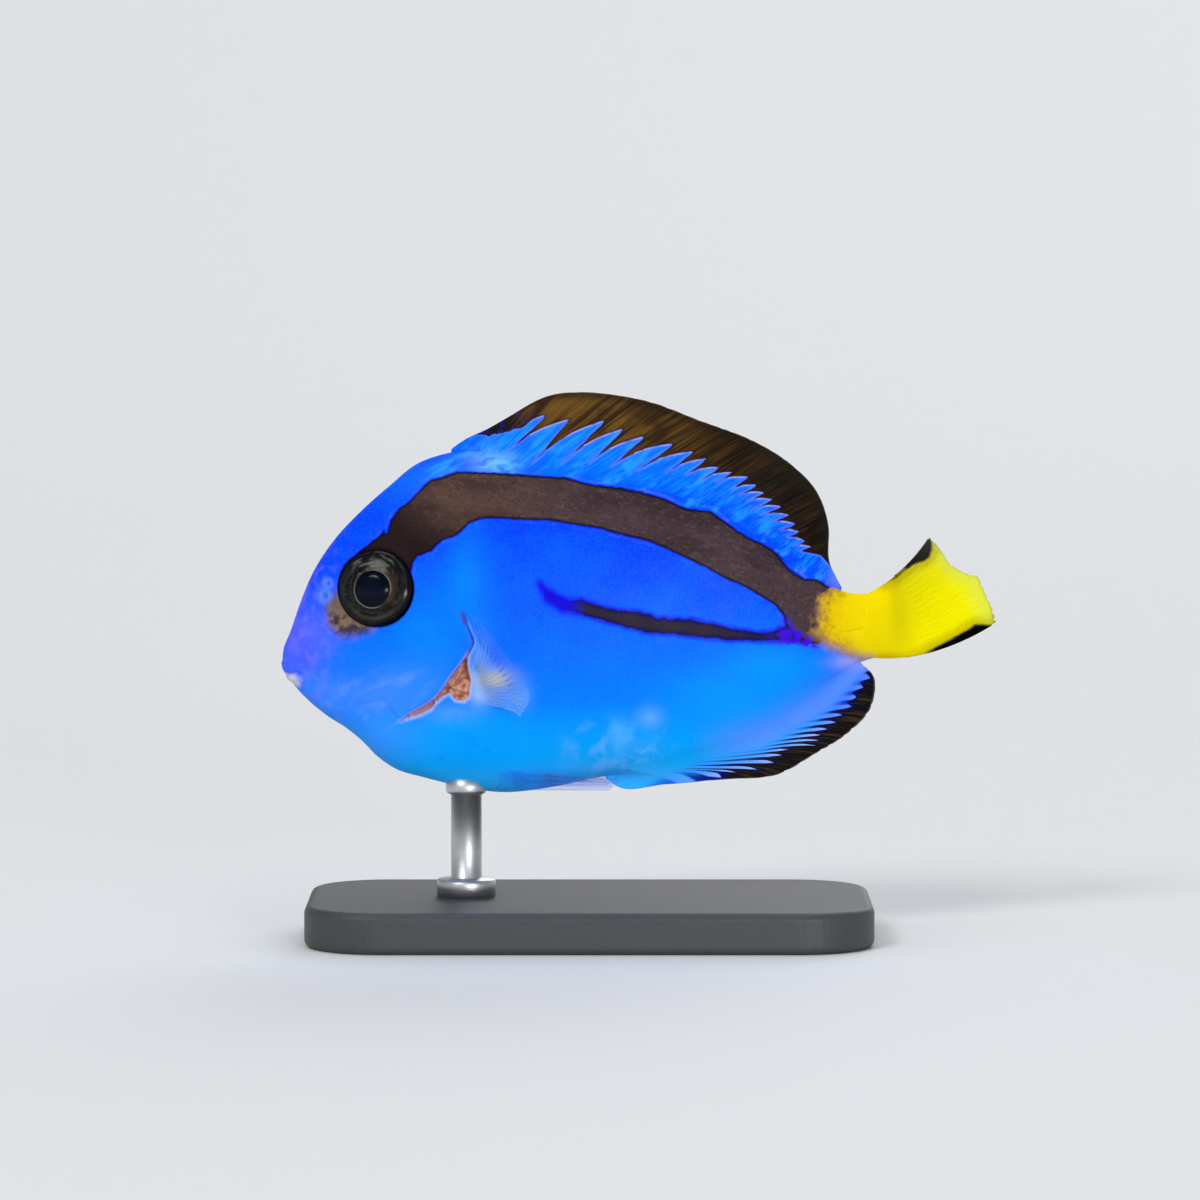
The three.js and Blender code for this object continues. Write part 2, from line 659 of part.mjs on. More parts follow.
const fish = new THREE.Group();
fish.position.set(SNOUT_X, 0, AXIS_Z);
fish.add(named("head", geometryOf(headSolid()), COLOURS.head, 0.35));
fish.add(named("trunk", geometryOf(trunkSolid()), COLOURS.blue, 0.35));
fish.add(named("tail_base", geometryOf(tailBaseSolid()), COLOURS.yellow, 0.4));

const clearOfBody = (solid) => geometryOf(solid.subtract(grownBody));
fish.add(named("dorsal_fin", clearOfBody(middleFin(DORSAL, backLine, 1)), COLOURS.dark, 0.5));
fish.add(named("anal_fin", clearOfBody(middleFin(ANAL, bellyLine, -1)), COLOURS.dark, 0.5));
fish.add(named("caudal_fin", clearOfBody(caudalSolid()), COLOURS.yellow, 0.5));
for (const [side, word] of [[LEFT, "left"], [RIGHT, "right"]]) {
  fish.add(named(`pectoral_fin_${word}`, clearOfBody(pectoralSolid(side)), COLOURS.clear, 0.3));
  fish.add(named(`pelvic_fin_${word}`, clearOfBody(pelvicSolid(side)), COLOURS.clear, 0.3));
  fish.add(named(`eye_${word}`, geometryOf(solidOf(eyeForm(side, 0))), COLOURS.eye, 0.1));
  fish.add(named(`gills_${word}`, geometryOf(gillSolid(side)), COLOURS.gill, 0.4));
}
fish.add(named("stand_rod", rodGeometry(grownBody), COLOURS.stand, 0.4));

const model = new THREE.Group();
model.add(fish);
model.add(named("stand_base", baseGeometry(), COLOURS.stand, 0.45));

export default model;
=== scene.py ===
"""A young regal blue tang as a still, life-size display model on a small stand.

Lengths are in millimetres until a piece is made. A place on the fish is u, out, v: u runs back from the
snout, out to the fish's right, and v up from its long axis."""
import math

import bmesh
import bpy
import numpy as np
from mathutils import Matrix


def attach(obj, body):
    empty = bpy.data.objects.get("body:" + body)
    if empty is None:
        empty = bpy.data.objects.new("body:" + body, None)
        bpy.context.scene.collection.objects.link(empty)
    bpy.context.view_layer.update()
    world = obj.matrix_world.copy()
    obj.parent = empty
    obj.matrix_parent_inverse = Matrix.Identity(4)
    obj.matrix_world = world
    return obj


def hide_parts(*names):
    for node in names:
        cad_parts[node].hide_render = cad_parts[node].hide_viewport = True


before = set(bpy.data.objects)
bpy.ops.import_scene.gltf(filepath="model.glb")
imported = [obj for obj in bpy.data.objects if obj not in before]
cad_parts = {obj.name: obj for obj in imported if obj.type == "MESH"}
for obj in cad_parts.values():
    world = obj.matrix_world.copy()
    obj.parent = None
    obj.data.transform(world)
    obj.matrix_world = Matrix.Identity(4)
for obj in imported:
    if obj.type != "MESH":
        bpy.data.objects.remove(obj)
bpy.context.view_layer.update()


# Camera, light and floor
# The camera looks straight at the left side from a little above, as near as the photograph was taken.
# The floor rises all round into a low wall, so that no view meets an edge.
MM = 0.001
CAMERA_DISTANCE = 250.0
CAMERA_ELEVATION = 4.0
CAMERA_TARGET = (0.412, 0.0, 13.178)
VIEW_WIDTH = 46.69
SENSOR = 36.0


def linear(red, green, blue):
    """A colour as seen on a screen, 0 to 255, as the linear colour that a shader takes."""
    shares = [c / 255 for c in (red, green, blue)]
    return [c / 12.92 if c <= 0.04045 else ((c + 0.055) / 1.055) ** 2.4 for c in shares] + [1.0]


def look_at(thing, place, target):
    """Puts a camera or a light at a place in millimetres, facing a target."""
    sight = np.subtract(target, place)
    yaw = math.atan2(sight[1], sight[0]) - math.pi / 2
    pitch = math.atan2(sight[2], math.hypot(sight[0], sight[1])) + math.pi / 2
    thing.location = [c * MM for c in place]
    thing.rotation_euler = (pitch, 0, yaw)


def add_object(name, data):
    thing = bpy.data.objects.new(name, data)
    bpy.context.scene.collection.objects.link(thing)
    return thing


camera = add_object("camera", bpy.data.cameras.new("camera"))
camera.data.sensor_width = SENSOR
camera.data.lens = SENSOR * CAMERA_DISTANCE / VIEW_WIDTH
camera.data.clip_start = 0.005
camera.data.clip_end = 10.0
elevation = math.radians(CAMERA_ELEVATION)
camera_back = np.array([0, -math.cos(elevation), math.sin(elevation)]) * CAMERA_DISTANCE
look_at(camera, np.array(CAMERA_TARGET) + camera_back, CAMERA_TARGET)
bpy.context.scene.camera = camera
bpy.context.scene.view_settings.view_transform = "Standard"
bpy.context.scene.view_settings.look = "None"

for name, place, size, watts in [
    ("key_light", (-440, -660, 660), 340, 4.0),
    ("fill_light", (165, -420, 40), 110, 1.15),
    ("top_light", (0, 160, 900), 600, 2.6),
    ("back_light", (240, 760, 480), 600, 2.2),
]:
    lamp = bpy.data.lights.new(name, "AREA")
    lamp.shape = "DISK"
    lamp.size = size * MM
    lamp.energy = watts
    look_at(add_object(name, lamp), place, CAMERA_TARGET)

world = bpy.data.worlds.new("soft_daylight")
bpy.context.scene.world = world
world.use_nodes = True
world.node_tree.nodes["Background"].inputs["Color"].default_value = linear(244, 246, 250)
world.node_tree.nodes["Background"].inputs["Strength"].default_value = 0.3


def lathe_faces(rings, sides):
    """Faces between each ring of points and the next, all rings having as many points."""
    ring, side = np.meshgrid(np.arange(rings - 1), np.arange(sides), indexing="ij")
    here = ring * sides + side
    beside = ring * sides + (side + 1) % sides
    return np.stack([here, beside, beside + sides, here + sides], -1).reshape(-1, 4)


FLOOR_FLAT = 300
FLOOR_REACH = 700
BOWL_RADIUS = 560


def stage_floor():
    """A flat round floor whose rim rises slowly, as the inside of a very wide bowl."""
    sides = 96
    out = np.linspace(FLOOR_FLAT, FLOOR_REACH, 20)
    rise = BOWL_RADIUS - np.sqrt(BOWL_RADIUS**2 - (out - FLOOR_FLAT) ** 2)
    profile = [(1, 0), (FLOOR_FLAT / 2, 0), *zip(out, rise)]
    angles = np.linspace(0, 2 * math.pi, sides, endpoint=False)
    spots = [(r * math.cos(a) * MM, r * math.sin(a) * MM, z * MM) for r, z in profile for a in angles]
    mesh = bpy.data.meshes.new("studio_floor")
    faces = lathe_faces(len(profile), sides).tolist()
    mesh.from_pydata(spots, [], faces + [list(range(sides))])
    mesh.shade_smooth()
    material = bpy.data.materials.new("pale_floor")
    material.use_nodes = True
    shader = material.node_tree.nodes["Principled BSDF"]
    shader.inputs["Base Color"].default_value = linear(224, 226, 228)
    shader.inputs["Roughness"].default_value = 0.9
    mesh.materials.append(material)
    return add_object("studio_floor", mesh)


stage_floor()


# Skin
# The real body is one piece from lips to tail root, flat-sided and lens-shaped, covered in tiny scales.
# A museum model has it as one painted cast. The outline, the thickness and each opening follow measured
# sizes, and the markings are painted by height and length along the fish.
SNOUT_X = -12.0
AXIS_Z = 12.4
# The body's upper and lower outline from front to rear, and half its thickness midway between their points.
BACK = [
    (0.04, -1.62), (0.1, -1.1), (0.36, -0.45), (0.78, 0.75), (1.3, 1.95), (2.1, 3.15), (3.1, 4.22),
    (4.2, 5.2), (5.3, 6.08), (6.5, 6.5), (8, 6.68), (10.08, 6.3), (12.4, 6), (14.75, 5.56), (17, 4.75),
    (19, 3.45), (20.58, 2.02), (21.95, 1.05), (22.88, 0.97), (23.6, 1.3),
]
BELLY = [
    (0.27, -2.22), (0.62, -2.68), (1.12, -3.2), (1.8, -3.75), (2.5, -4.2), (3.12, -4.7), (3.75, -5.34),
    (4.5, -5.84), (5.54, -6.15), (6.91, -6.48), (8.6, -6.73), (10.47, -6.54), (12.57, -6.11),
    (14.9, -5.92), (17, -5.35), (18.9, -4.35), (20.5, -3.25), (21.9, -2.05), (22.88, -1.66),
    (23.75, -1.58),
]
HALF = [
    0.3, 0.58, 0.86, 1.16, 1.42, 1.66, 1.88, 2.08, 2.26, 2.4,
    2.45, 2.36, 2.12, 1.78, 1.4, 1.05, 0.78, 0.6, 0.52, 0.45,
]
# How sharp the section's edges are, 1 for an ellipse, and how far its widest place lies towards the belly.
KEEL = 1.16
BELLY_BIAS = 0.08
SWING_START = 17.0
SWING_RATE = 0.036
EYE = {"u": 3.755, "v": 1.36, "radius": 1.46, "rim": 1.56, "rim_high": 0.03, "bowl": 1.45, "bowl_deep": 0.75}
GILL_COVER_EDGE = [
    (7.05, 0.6), (7.28, -0.06), (7.42, -0.42), (7.5, -0.64), (7.44, -0.9), (7.26, -1.21), (7.02, -1.56),
    (6.7, -1.97), (6.38, -2.45), (5.99, -2.92), (5.55, -3.23), (5.04, -3.5), (4.66, -3.8),
]
GILL_OPENING = [
    (7.46, -0.86), (7.26, -1.21), (7.02, -1.56), (6.7, -1.97), (6.38, -2.45), (5.99, -2.92), (5.55, -3.23),
    (5.04, -3.5), (4.66, -3.8), (5.43, -3.56), (5.91, -3.31), (6.03, -3.11), (6.38, -2.8), (6.61, -2.68),
    (6.82, -2.96), (7.18, -3.0), (7.38, -2.8), (7.38, -2.49), (7.46, -2.21), (7.42, -2.01), (7.32, -1.6),
    (7.34, -1.28),
]
COVER_NOTCH = [(7.0, 0.54), (7.16, 0.5), (7.28, 0.22), (7.3, -0.06), (7.2, -0.08), (7.08, 0.14)]
COVER = {"high": 0.1, "groove_deep": 0.12, "furrow_deep": 0.05, "notch_deep": 0.05}
OPENING = {"deep": 0.3, "rim_high": 0.04}
FIN_MUSCLE = {"middle": (7.08, -2.7), "size": (0.25, 0.22), "high": 0.18}
NOSTRILS = [(1.74, 1.03, 0.19), (1.86, 1.5, 0.14)]
NOSTRIL_RIM_HIGH = 0.035
NOSTRIL_DEEP = 0.1
MOUTH = {"corner": 0.95, "level": -2.03, "upper": 0.2, "lower": 0.21, "lip_wide": 0.13, "lip_high": 0.075}
MOUTH_LINE = {"wide": 0.04, "deep": 0.12}
TAIL_SPINE = {"line": [(21.75, -0.42), (22.65, -0.3)], "high": 0.05, "groove_deep": 0.03}
TAIL_DRAWN_IN = 0.05


def spline(points, shares):
    """A smooth line through points, at shares of the way along that count its points evenly."""
    points = np.asarray(points, float)
    shares = np.atleast_1d(np.asarray(shares, float))
    count = len(points) - 1
    place = np.clip(shares, 0, 1) * count
    first = np.minimum(place.astype(int), count - 1)
    w = (place - first)[:, None]
    padded = np.vstack([2 * points[0] - points[1], points, 2 * points[-1] - points[-2]])
    a, b, c, d = (padded[first + k] for k in range(4))
    pairs = ((a, b), (b, c), (c, d))
    before, here, after = (np.sqrt(np.linalg.norm(q - p, axis=1))[:, None] for p, q in pairs)
    start = ((b - a) / before - (c - a) / (before + here) + (c - b) / here) * here
    end = ((c - b) / here - (d - b) / (here + after) + (d - c) / after) * here
    return b + start * w + (3 * (c - b) - 2 * start - end) * w**2 + (2 * (b - c) + start + end) * w**3


def smooth(value, low, high):
    """0 below low, 1 above high and a soft step between."""
    share = np.clip((value - low) / (high - low), 0, 1)
    return share * share * (3 - 2 * share)


def swing(u):
    return SWING_RATE * np.maximum(0, u - SWING_START) ** 2


def at(u, out, v):
    """Places on the fish, with the tail swung away."""
    return np.stack(np.broadcast_arrays(u, out + swing(u), v), -1)


half_points = [((top[0] + bottom[0]) / 2, half) for top, bottom, half in zip(BACK, BELLY, HALF)]
dense = np.linspace(0, 1, 2001)
back_line = spline(BACK, dense)
belly_line = spline(BELLY, dense)
half_line = spline(half_points, dense)


def top_at(u):
    return np.interp(u, back_line[:, 0], back_line[:, 1])


def bottom_at(u):
    return np.interp(u, belly_line[:, 0], belly_line[:, 1])


def flank(u, v):
    """Half the body's thickness at a place on its side, and zero off it."""
    level = (2 * v - top_at(u) - bottom_at(u)) / (top_at(u) - bottom_at(u))
    rise = level + BELLY_BIAS * (1 - level**2)
    return np.interp(u, half_line[:, 0], half_line[:, 1]) * np.maximum(0, 1 - rise**2) ** (KEEL / 2)


def outline_distance(outline, u, v):
    """How far places lie inside a closed outline, and below zero outside it."""
    outline = np.asarray(outline, float)
    spots = np.stack([u, v], -1).reshape(-1, 2)
    nearest = np.full(len(spots), 1e9)
    inside = np.zeros(len(spots), bool)
    for p, q in zip(outline, np.roll(outline, -1, 0)):
        run = q - p
        share = np.clip((spots - p) @ run / (run @ run), 0, 1)
        nearest = np.minimum(nearest, np.linalg.norm(spots - p - share[:, None] * run, axis=1))
        crosses = (p[1] > spots[:, 1]) != (q[1] > spots[:, 1])
        level = run[1] if run[1] else 1e-9
        inside ^= crosses & (spots[:, 0] < p[0] + run[0] * (spots[:, 1] - p[1]) / level)
    return np.where(inside, nearest, -nearest).reshape(np.shape(u))


def line_distance(points, u, v):
    """How far places lie behind an open line that runs down, and at what share of its length."""
    pieces = 120
    curve = spline(points, np.linspace(0, 1, pieces + 1))
    spots = np.stack([u, v], -1).reshape(-1, 2)
    nearest = np.full(len(spots), 1e9)
    share = np.zeros(len(spots))
    side = np.ones(len(spots))
    for i, (p, q) in enumerate(zip(curve[:-1], curve[1:])):
        run = q - p
        along = np.clip((spots - p) @ run / (run @ run), 0, 1)
        gap = spots - p - along[:, None] * run
        away = np.linalg.norm(gap, axis=1)
        closer = away < nearest
        nearest[closer] = away[closer]
        share[closer] = (i + along[closer]) / pieces
        side[closer] = np.sign(run[0] * gap[closer, 1] - run[1] * gap[closer, 0])
    return (side * nearest).reshape(np.shape(u)), share.reshape(np.shape(u))


def ridge(away, wide):
    """1 on a line and less beside it, by the distance from the line and how wide the form is."""
    return np.exp(-((away / wide) ** 2))


def soft_patch(u, v, middle, size):
    """1 in the middle of a soft oval and less all round it."""
    return np.exp(-(((u - middle[0]) / size[0]) ** 2) - ((v - middle[1]) / size[1]) ** 2)


def eye_relief(u, v):
    """A thin raised rim round the bowl that holds the eye."""
    away = np.hypot(u - EYE["u"], v - EYE["v"])
    bowl = EYE["bowl_deep"] * smooth(EYE["bowl"] - away, 0, 0.2)
    return EYE["rim_high"] * ridge(away - EYE["rim"], 0.08) - bowl


def gill_relief(u, v):
    """The gill cover's raised edge, the grooves behind and ahead of it, and the open slit."""
    behind, share = line_distance(GILL_COVER_EDGE, u, v)
    ends = smooth(share, 0.02, 0.2) * (1 - smooth(share, 0.97, 1.0))
    raised = smooth(-behind, -0.03, 0.05) * (1 - smooth(-behind, 0.1, 1.5))
    furrow = smooth(-behind, 1.55, 1.75) * (1 - smooth(-behind, 1.8, 2.6))
    inward = outline_distance(GILL_OPENING, u, v)
    opening = smooth(inward, 0, 0.12)
    height = COVER["high"] * ends * raised - COVER["groove_deep"] * ends * ridge(behind - 0.04, 0.045)
    height -= COVER["furrow_deep"] * furrow * ends
    height -= COVER["notch_deep"] * smooth(outline_distance(COVER_NOTCH, u, v), -0.03, 0.05)
    height -= OPENING["deep"] * opening
    height += OPENING["rim_high"] * ridge(inward + 0.12, 0.1) * smooth(behind, 0, 0.1)
    return height + FIN_MUSCLE["high"] * soft_patch(u, v, FIN_MUSCLE["middle"], FIN_MUSCLE["size"]) * opening


def mouth_relief(u, v):
    """Two lips and the line of the mouth between them."""
    front = 1 - smooth(u, MOUTH["corner"] - 0.25, MOUTH["corner"])
    up = v - MOUTH["level"]
    lips = ridge(up - MOUTH["upper"], MOUTH["lip_wide"]) + ridge(up + MOUTH["lower"], MOUTH["lip_wide"])
    return front * (MOUTH["lip_high"] * lips - MOUTH_LINE["deep"] * ridge(up, MOUTH_LINE["wide"]))


def nostril_relief(u, v):
    """A raised ring round the pit of each nostril."""
    height = np.zeros_like(u)
    for middle_u, middle_v, radius in NOSTRILS:
        away = np.hypot(u - middle_u, v - middle_v)
        height += NOSTRIL_RIM_HIGH * ridge(away - radius, 0.06)
        height -= NOSTRIL_DEEP * smooth(radius * 0.7 - away, 0, 0.06)
    return height


def tail_relief(u, v):
    """The folded spine in its groove, and the tail root drawn in where the tail fin's foot leaves it."""
    spine, along = line_distance(TAIL_SPINE["line"], u, v)
    ends = smooth(along, 0, 0.15) * (1 - smooth(along, 0.9, 1))
    groove = TAIL_SPINE["groove_deep"] * ridge(np.abs(spine) - 0.12, 0.05)
    return ends * (TAIL_SPINE["high"] * ridge(spine, 0.05) - groove) - TAIL_DRAWN_IN * smooth(u, 22.6, 23.6)


def relief(u, v):
    """How far the real skin stands proud of the plain form."""
    return sum(form(u, v) for form in (eye_relief, gill_relief, mouth_relief, nostril_relief, tail_relief))


def skin_rows():
    """Shares of the way along the body, closer together where the skin has fine forms."""
    stretches = [
        (0.0, 1.3, 0.03), (1.3, 8.0, 0.045), (8.0, 21.3, 0.115), (21.3, 23.0, 0.055), (23.0, 23.7, 0.09),
    ]
    rows = [np.arange(start, end, step) for start, end, step in stretches]
    places = np.concatenate([*rows, [stretches[-1][1]]])
    return np.interp(places, half_line[:, 0], dense)


def add_attribute(mesh, name, values):
    """A number, or a colour, for each point of a mesh."""
    kind, key = ("FLOAT_COLOR", "color") if values.ndim == 2 else ("FLOAT", "value")
    mesh.attributes.new(name, kind, "POINT").data.foreach_set(key, values.astype(np.float32).ravel())


def add_mesh(name, spots, faces, material, marks=None):
    """A piece from places on the fish, smooth-shaded, with its marks as attributes."""
    spots = (np.asarray(spots).reshape(-1, 3) + (SNOUT_X, 0, AXIS_Z)) * MM
    mesh = bpy.data.meshes.new(name)
    mesh.from_pydata(spots.tolist(), [], faces)
    mesh.shade_smooth()
    mesh.materials.append(material)
    for key, values in (marks or {}).items():
        add_attribute(mesh, key, values)
    return add_object(name, mesh)


# Outlines of the markings on the left side, in millimetres, as they show from the camera.
BAND_TOP = [
    (4.16, 3.46), (4.28, 3.89), (4.59, 4.32), (5.02, 4.63), (5.45, 5.1), (5.84, 5.45), (6.26, 5.53),
    (6.89, 5.76), (7.94, 5.72), (8.79, 5.68), (10.04, 5.6), (11.09, 5.53), (11.95, 5.29), (13.23, 5.14),
    (13.97, 4.98), (14.82, 4.75), (15.76, 4.32), (16.69, 4.24), (17.12, 3.93), (17.67, 3.54),
    (18.29, 3.15), (18.91, 2.88), (19.34, 2.53), (19.73, 2.02), (20.27, 1.63), (20.78, 1.6), (21.32, 1.25),
]
BAND = BAND_TOP + [
    (21.55, 1.05), (22.2, 0.6), (21.6, -0.4), (20.9, -0.95), (20.43, -0.89), (19.65, -0.28), (19.53, 0.23),
    (19.22, 0.58), (18.6, 0.97), (17.98, 1.32), (17.24, 1.63), (16.5, 2.06), (15.56, 2.49), (14.94, 2.8),
    (14.24, 3.07), (13.19, 3.31), (12.45, 3.54), (11.4, 3.7), (10.47, 3.85), (9.3, 3.89), (8.48, 3.93),
    (7.86, 3.93), (7.32, 3.74), (6.89, 3.31), (6.26, 3.07), (5.84, 2.65), (5.33, 2.49), (5.14, 2.2),
    (5.0, 1.6), (3.755, 1.36), (2.9, 2.55), (3.3, 2.85), (3.85, 3.28), (4.0, 3.5), (4.12, 3.34),
]
STRIPE = [
    (10.08, 1.42), (10.39, 1.09), (10.74, 0.89), (11.21, 0.74), (11.63, 0.82), (12.26, 0.58), (13.0, 0.39),
    (13.97, 0.31), (14.71, 0.08), (16.07, 0), (17.12, -0.23), (17.86, -0.39), (18.6, -0.51), (19.2, -0.42),
    (19.65, -0.23), (20.43, -0.89), (19.73, -0.82), (18.68, -0.82), (17.67, -0.78), (16.61, -0.7),
    (15.25, -0.54), (14.2, -0.47), (13.19, -0.19), (12.57, -0.04), (11.63, 0.23), (10.89, 0.43),
    (10.31, 0.86),
]
YELLOW = [
    (21.44, 1.25), (21.05, 0.78), (20.93, 0.23), (21.01, -0.19), (20.85, -0.47), (21.3, -0.92),
    (21.8, -1.13), (22.25, -1.32), (22.75, -1.44), (23.6, -1.52), (24, -3), (30, -3), (30, 4), (22, 4),
]
EYE_PATCH = [
    (1.9, 0.85), (1.75, 0.3), (1.85, -0.15), (2.2, -0.52), (2.75, -0.62), (3.25, -0.46), (3.75, -0.14),
    (3.755, 1.3), (2.4, 1.25),
]
LOWER_LIP = [(0.0, -2.1), (0.5, -2.1), (0.78, -2.34), (0.7, -2.6), (0.2, -2.6)]
# The blues of the flank by height.
FLANK_BLUES = [
    (6.8, (0, 100, 252)), (5.6, (0, 92, 251)), (3.6, (0, 56, 246)), (2.4, (0, 62, 247)), (0.6, (0, 79, 249)),
    (-1.5, (0, 102, 252)), (-3.2, (0, 120, 254)), (-4.6, (0, 160, 255)), (-5.6, (4, 174, 255)),
    (-6.8, (60, 184, 255)),
]
# Where the ground differs from those blues: place, middle, size, shade and strength.
SOFT_SPOTS = [
    ("forehead", (2.4, 3.2), (1.8, 2.0), (0, 66, 248), 0.9),
    ("nape", (5.0, 5.8), (1.8, 0.9), (20, 92, 250), 0.8),
    ("snout", (0.8, -0.7), (1.4, 1.3), (84, 92, 255), 0.95),
    ("upper_lip", (0.9, -1.7), (0.7, 0.4), (70, 78, 250), 0.7),
    ("chin", (1.7, -3.1), (1.7, 0.9), (58, 132, 255), 0.85),
    ("cheek_front", (3.0, -1.6), (1.3, 1.2), (10, 108, 252), 0.8),
    ("cheek", (5.6, -0.6), (1.6, 1.6), (0, 126, 254), 0.85),
    ("gill_cover", (5.2, -2.4), (1.5, 0.9), (52, 128, 255), 0.6),
    ("throat", (4.0, -4.6), (1.6, 1.1), (56, 142, 255), 0.8),
    ("breast", (7.5, -4.6), (2.4, 1.1), (0, 156, 255), 0.8),
    ("shoulder", (9.5, 1.4), (1.6, 1.6), (0, 84, 252), 0.6),
    ("cover_edge", (7.2, 1.4), (0.9, 1.8), (0, 128, 254), 0.8),
    ("nape_lavender", (7.55, 6.2), (0.42, 0.4), (92, 112, 255), 0.6),
    ("cheek_haze", (3.9, -2.9), (1.5, 0.7), (70, 132, 255), 0.6),
    ("belly_rear", (17.5, -3.2), (2.6, 1.2), (0, 150, 255), 0.8),
    ("rear_flank", (19.2, -1.9), (2.0, 1.1), (0, 146, 255), 0.8),
    ("dorsal_end", (21.6, 1.6), (0.35, 0.5), (140, 152, 255), 0.8),
    ("tail_root_low", (22.4, -1.65), (0.8, 0.3), (196, 186, 240), 0.8),
    ("fin_root", (7.75, -1.9), (0.35, 1.0), (128, 178, 226), 0.75),
    ("fin_root_low", (7.7, -2.9), (0.4, 0.35), (150, 186, 255), 0.8),
    ("fin_muscle", (8.25, -2.3), (0.72, 0.4), (206, 204, 144), 0.97),
    ("fin_rear", (9.35, -2.9), (0.4, 0.5), (104, 170, 255), 0.5),
    ("under_opening", (6.6, -3.6), (1.0, 0.35), (110, 160, 255), 0.35),
    # Whitish patches and a streak on the belly: painted sheen of its silvery skin.
    ("belly_sheen", (14.35, -3.8), (0.45, 0.38), (104, 168, 255), 0.7),
    ("belly_sheen_front", (13.15, -4.6), (0.36, 0.6), (90, 188, 255), 0.7),
    ("belly_sheen_low", (13.9, -4.9), (0.8, 0.35), (60, 165, 255), 0.5),
    ("belly_streak", (11.2, -5.0), (0.3, 0.35), (70, 170, 255), 0.5),
    # Paler along the belly's lower rim: painted light where the rim turns down into shade.
    ("belly_rim_lightened", (13.0, -5.9), (2.6, 0.4), (70, 170, 255), 0.6),
]
# Where the pale stripes of the anal fin begin. A lavender haze lies just above them.
STRIPES_START = [
    (12, -7.4), (14.2, -6.35), (15.2, -5.82), (16.2, -5.38), (18.64, -4.9), (19.77, -4.32), (20.62, -3.81),
    (21.36, -3.35), (21.98, -2.68), (23, -1.6),
]


def shown(u, away, v):
    """Where places show to the camera, by how far they are behind the fish's middle."""
    middle = CAMERA_TARGET[0] - SNOUT_X
    return middle + (u - middle) / (1 + away / CAMERA_DISTANCE), v + away * math.sin(elevation)


def ground_colour(u, v):
    """The blues and lavenders of the skin between its markings, with painted sheen and painted light on the
    belly.
    """
    heights = [height for height, _ in FLANK_BLUES][::-1]
    shades = np.array([linear(*colour) for _, colour in FLANK_BLUES][::-1])
    colour = np.stack([np.interp(v, heights, shades[:, k]) for k in range(4)], -1)
    for _, middle, size, shade, strength in SOFT_SPOTS:
        weight = strength * soft_patch(u, v, middle, size)
        colour += weight[..., None] * (np.array(linear(*shade)) - colour)
    over_stripes = v - np.interp(u, *np.array(STRIPES_START).T)
    weight = 0.7 * smooth(u, 15.6, 18.6) * ridge(over_stripes - 0.35, 0.7)
    return colour + weight[..., None] * (np.array(linear(98, 138, 255)) - colour)


def nape_patch(u, v):
    return soft_patch(u, v, (8.4, 6.1), (0.75, 0.5))


def over_band(u, v):
    """How far places lie above the band's upper edge."""
    return v - np.interp(u, *np.array(BAND_TOP).T, left=9)


def skin_marks(u, out, v):
    """The marks that the skin's paint reads, by places on its plain form. Both sides are alike."""
    seen_u, seen_v = shown(u, swing(u) - np.abs(out), v)
    behind, share = line_distance(GILL_COVER_EDGE, u, v)
    marks = {
        "ground": ground_colour(seen_u, seen_v).reshape(-1, 4),
        "band": outline_distance(BAND, seen_u, seen_v),
        "top_strip": over_band(seen_u, seen_v),
        "nape_patch": nape_patch(seen_u, seen_v),
        "stripe": outline_distance(STRIPE, seen_u, seen_v),
        "yellow": outline_distance(YELLOW, seen_u, seen_v),
        "eye_patch": outline_distance(EYE_PATCH, seen_u, seen_v),
        "lower_lip": outline_distance(LOWER_LIP, seen_u, seen_v),
        "gill_opening": outline_distance(GILL_OPENING, u, v),
        "cover_notch": outline_distance(COVER_NOTCH, u, v),
        "behind_cover": behind,
        "down_cover": share,
        "from_eye": np.hypot(u - EYE["u"], v - EYE["v"]),
        "along_fish": u,
        "up_fish": v,
    }
    return {name: values if name == "ground" else values.ravel() for name, values in marks.items()}


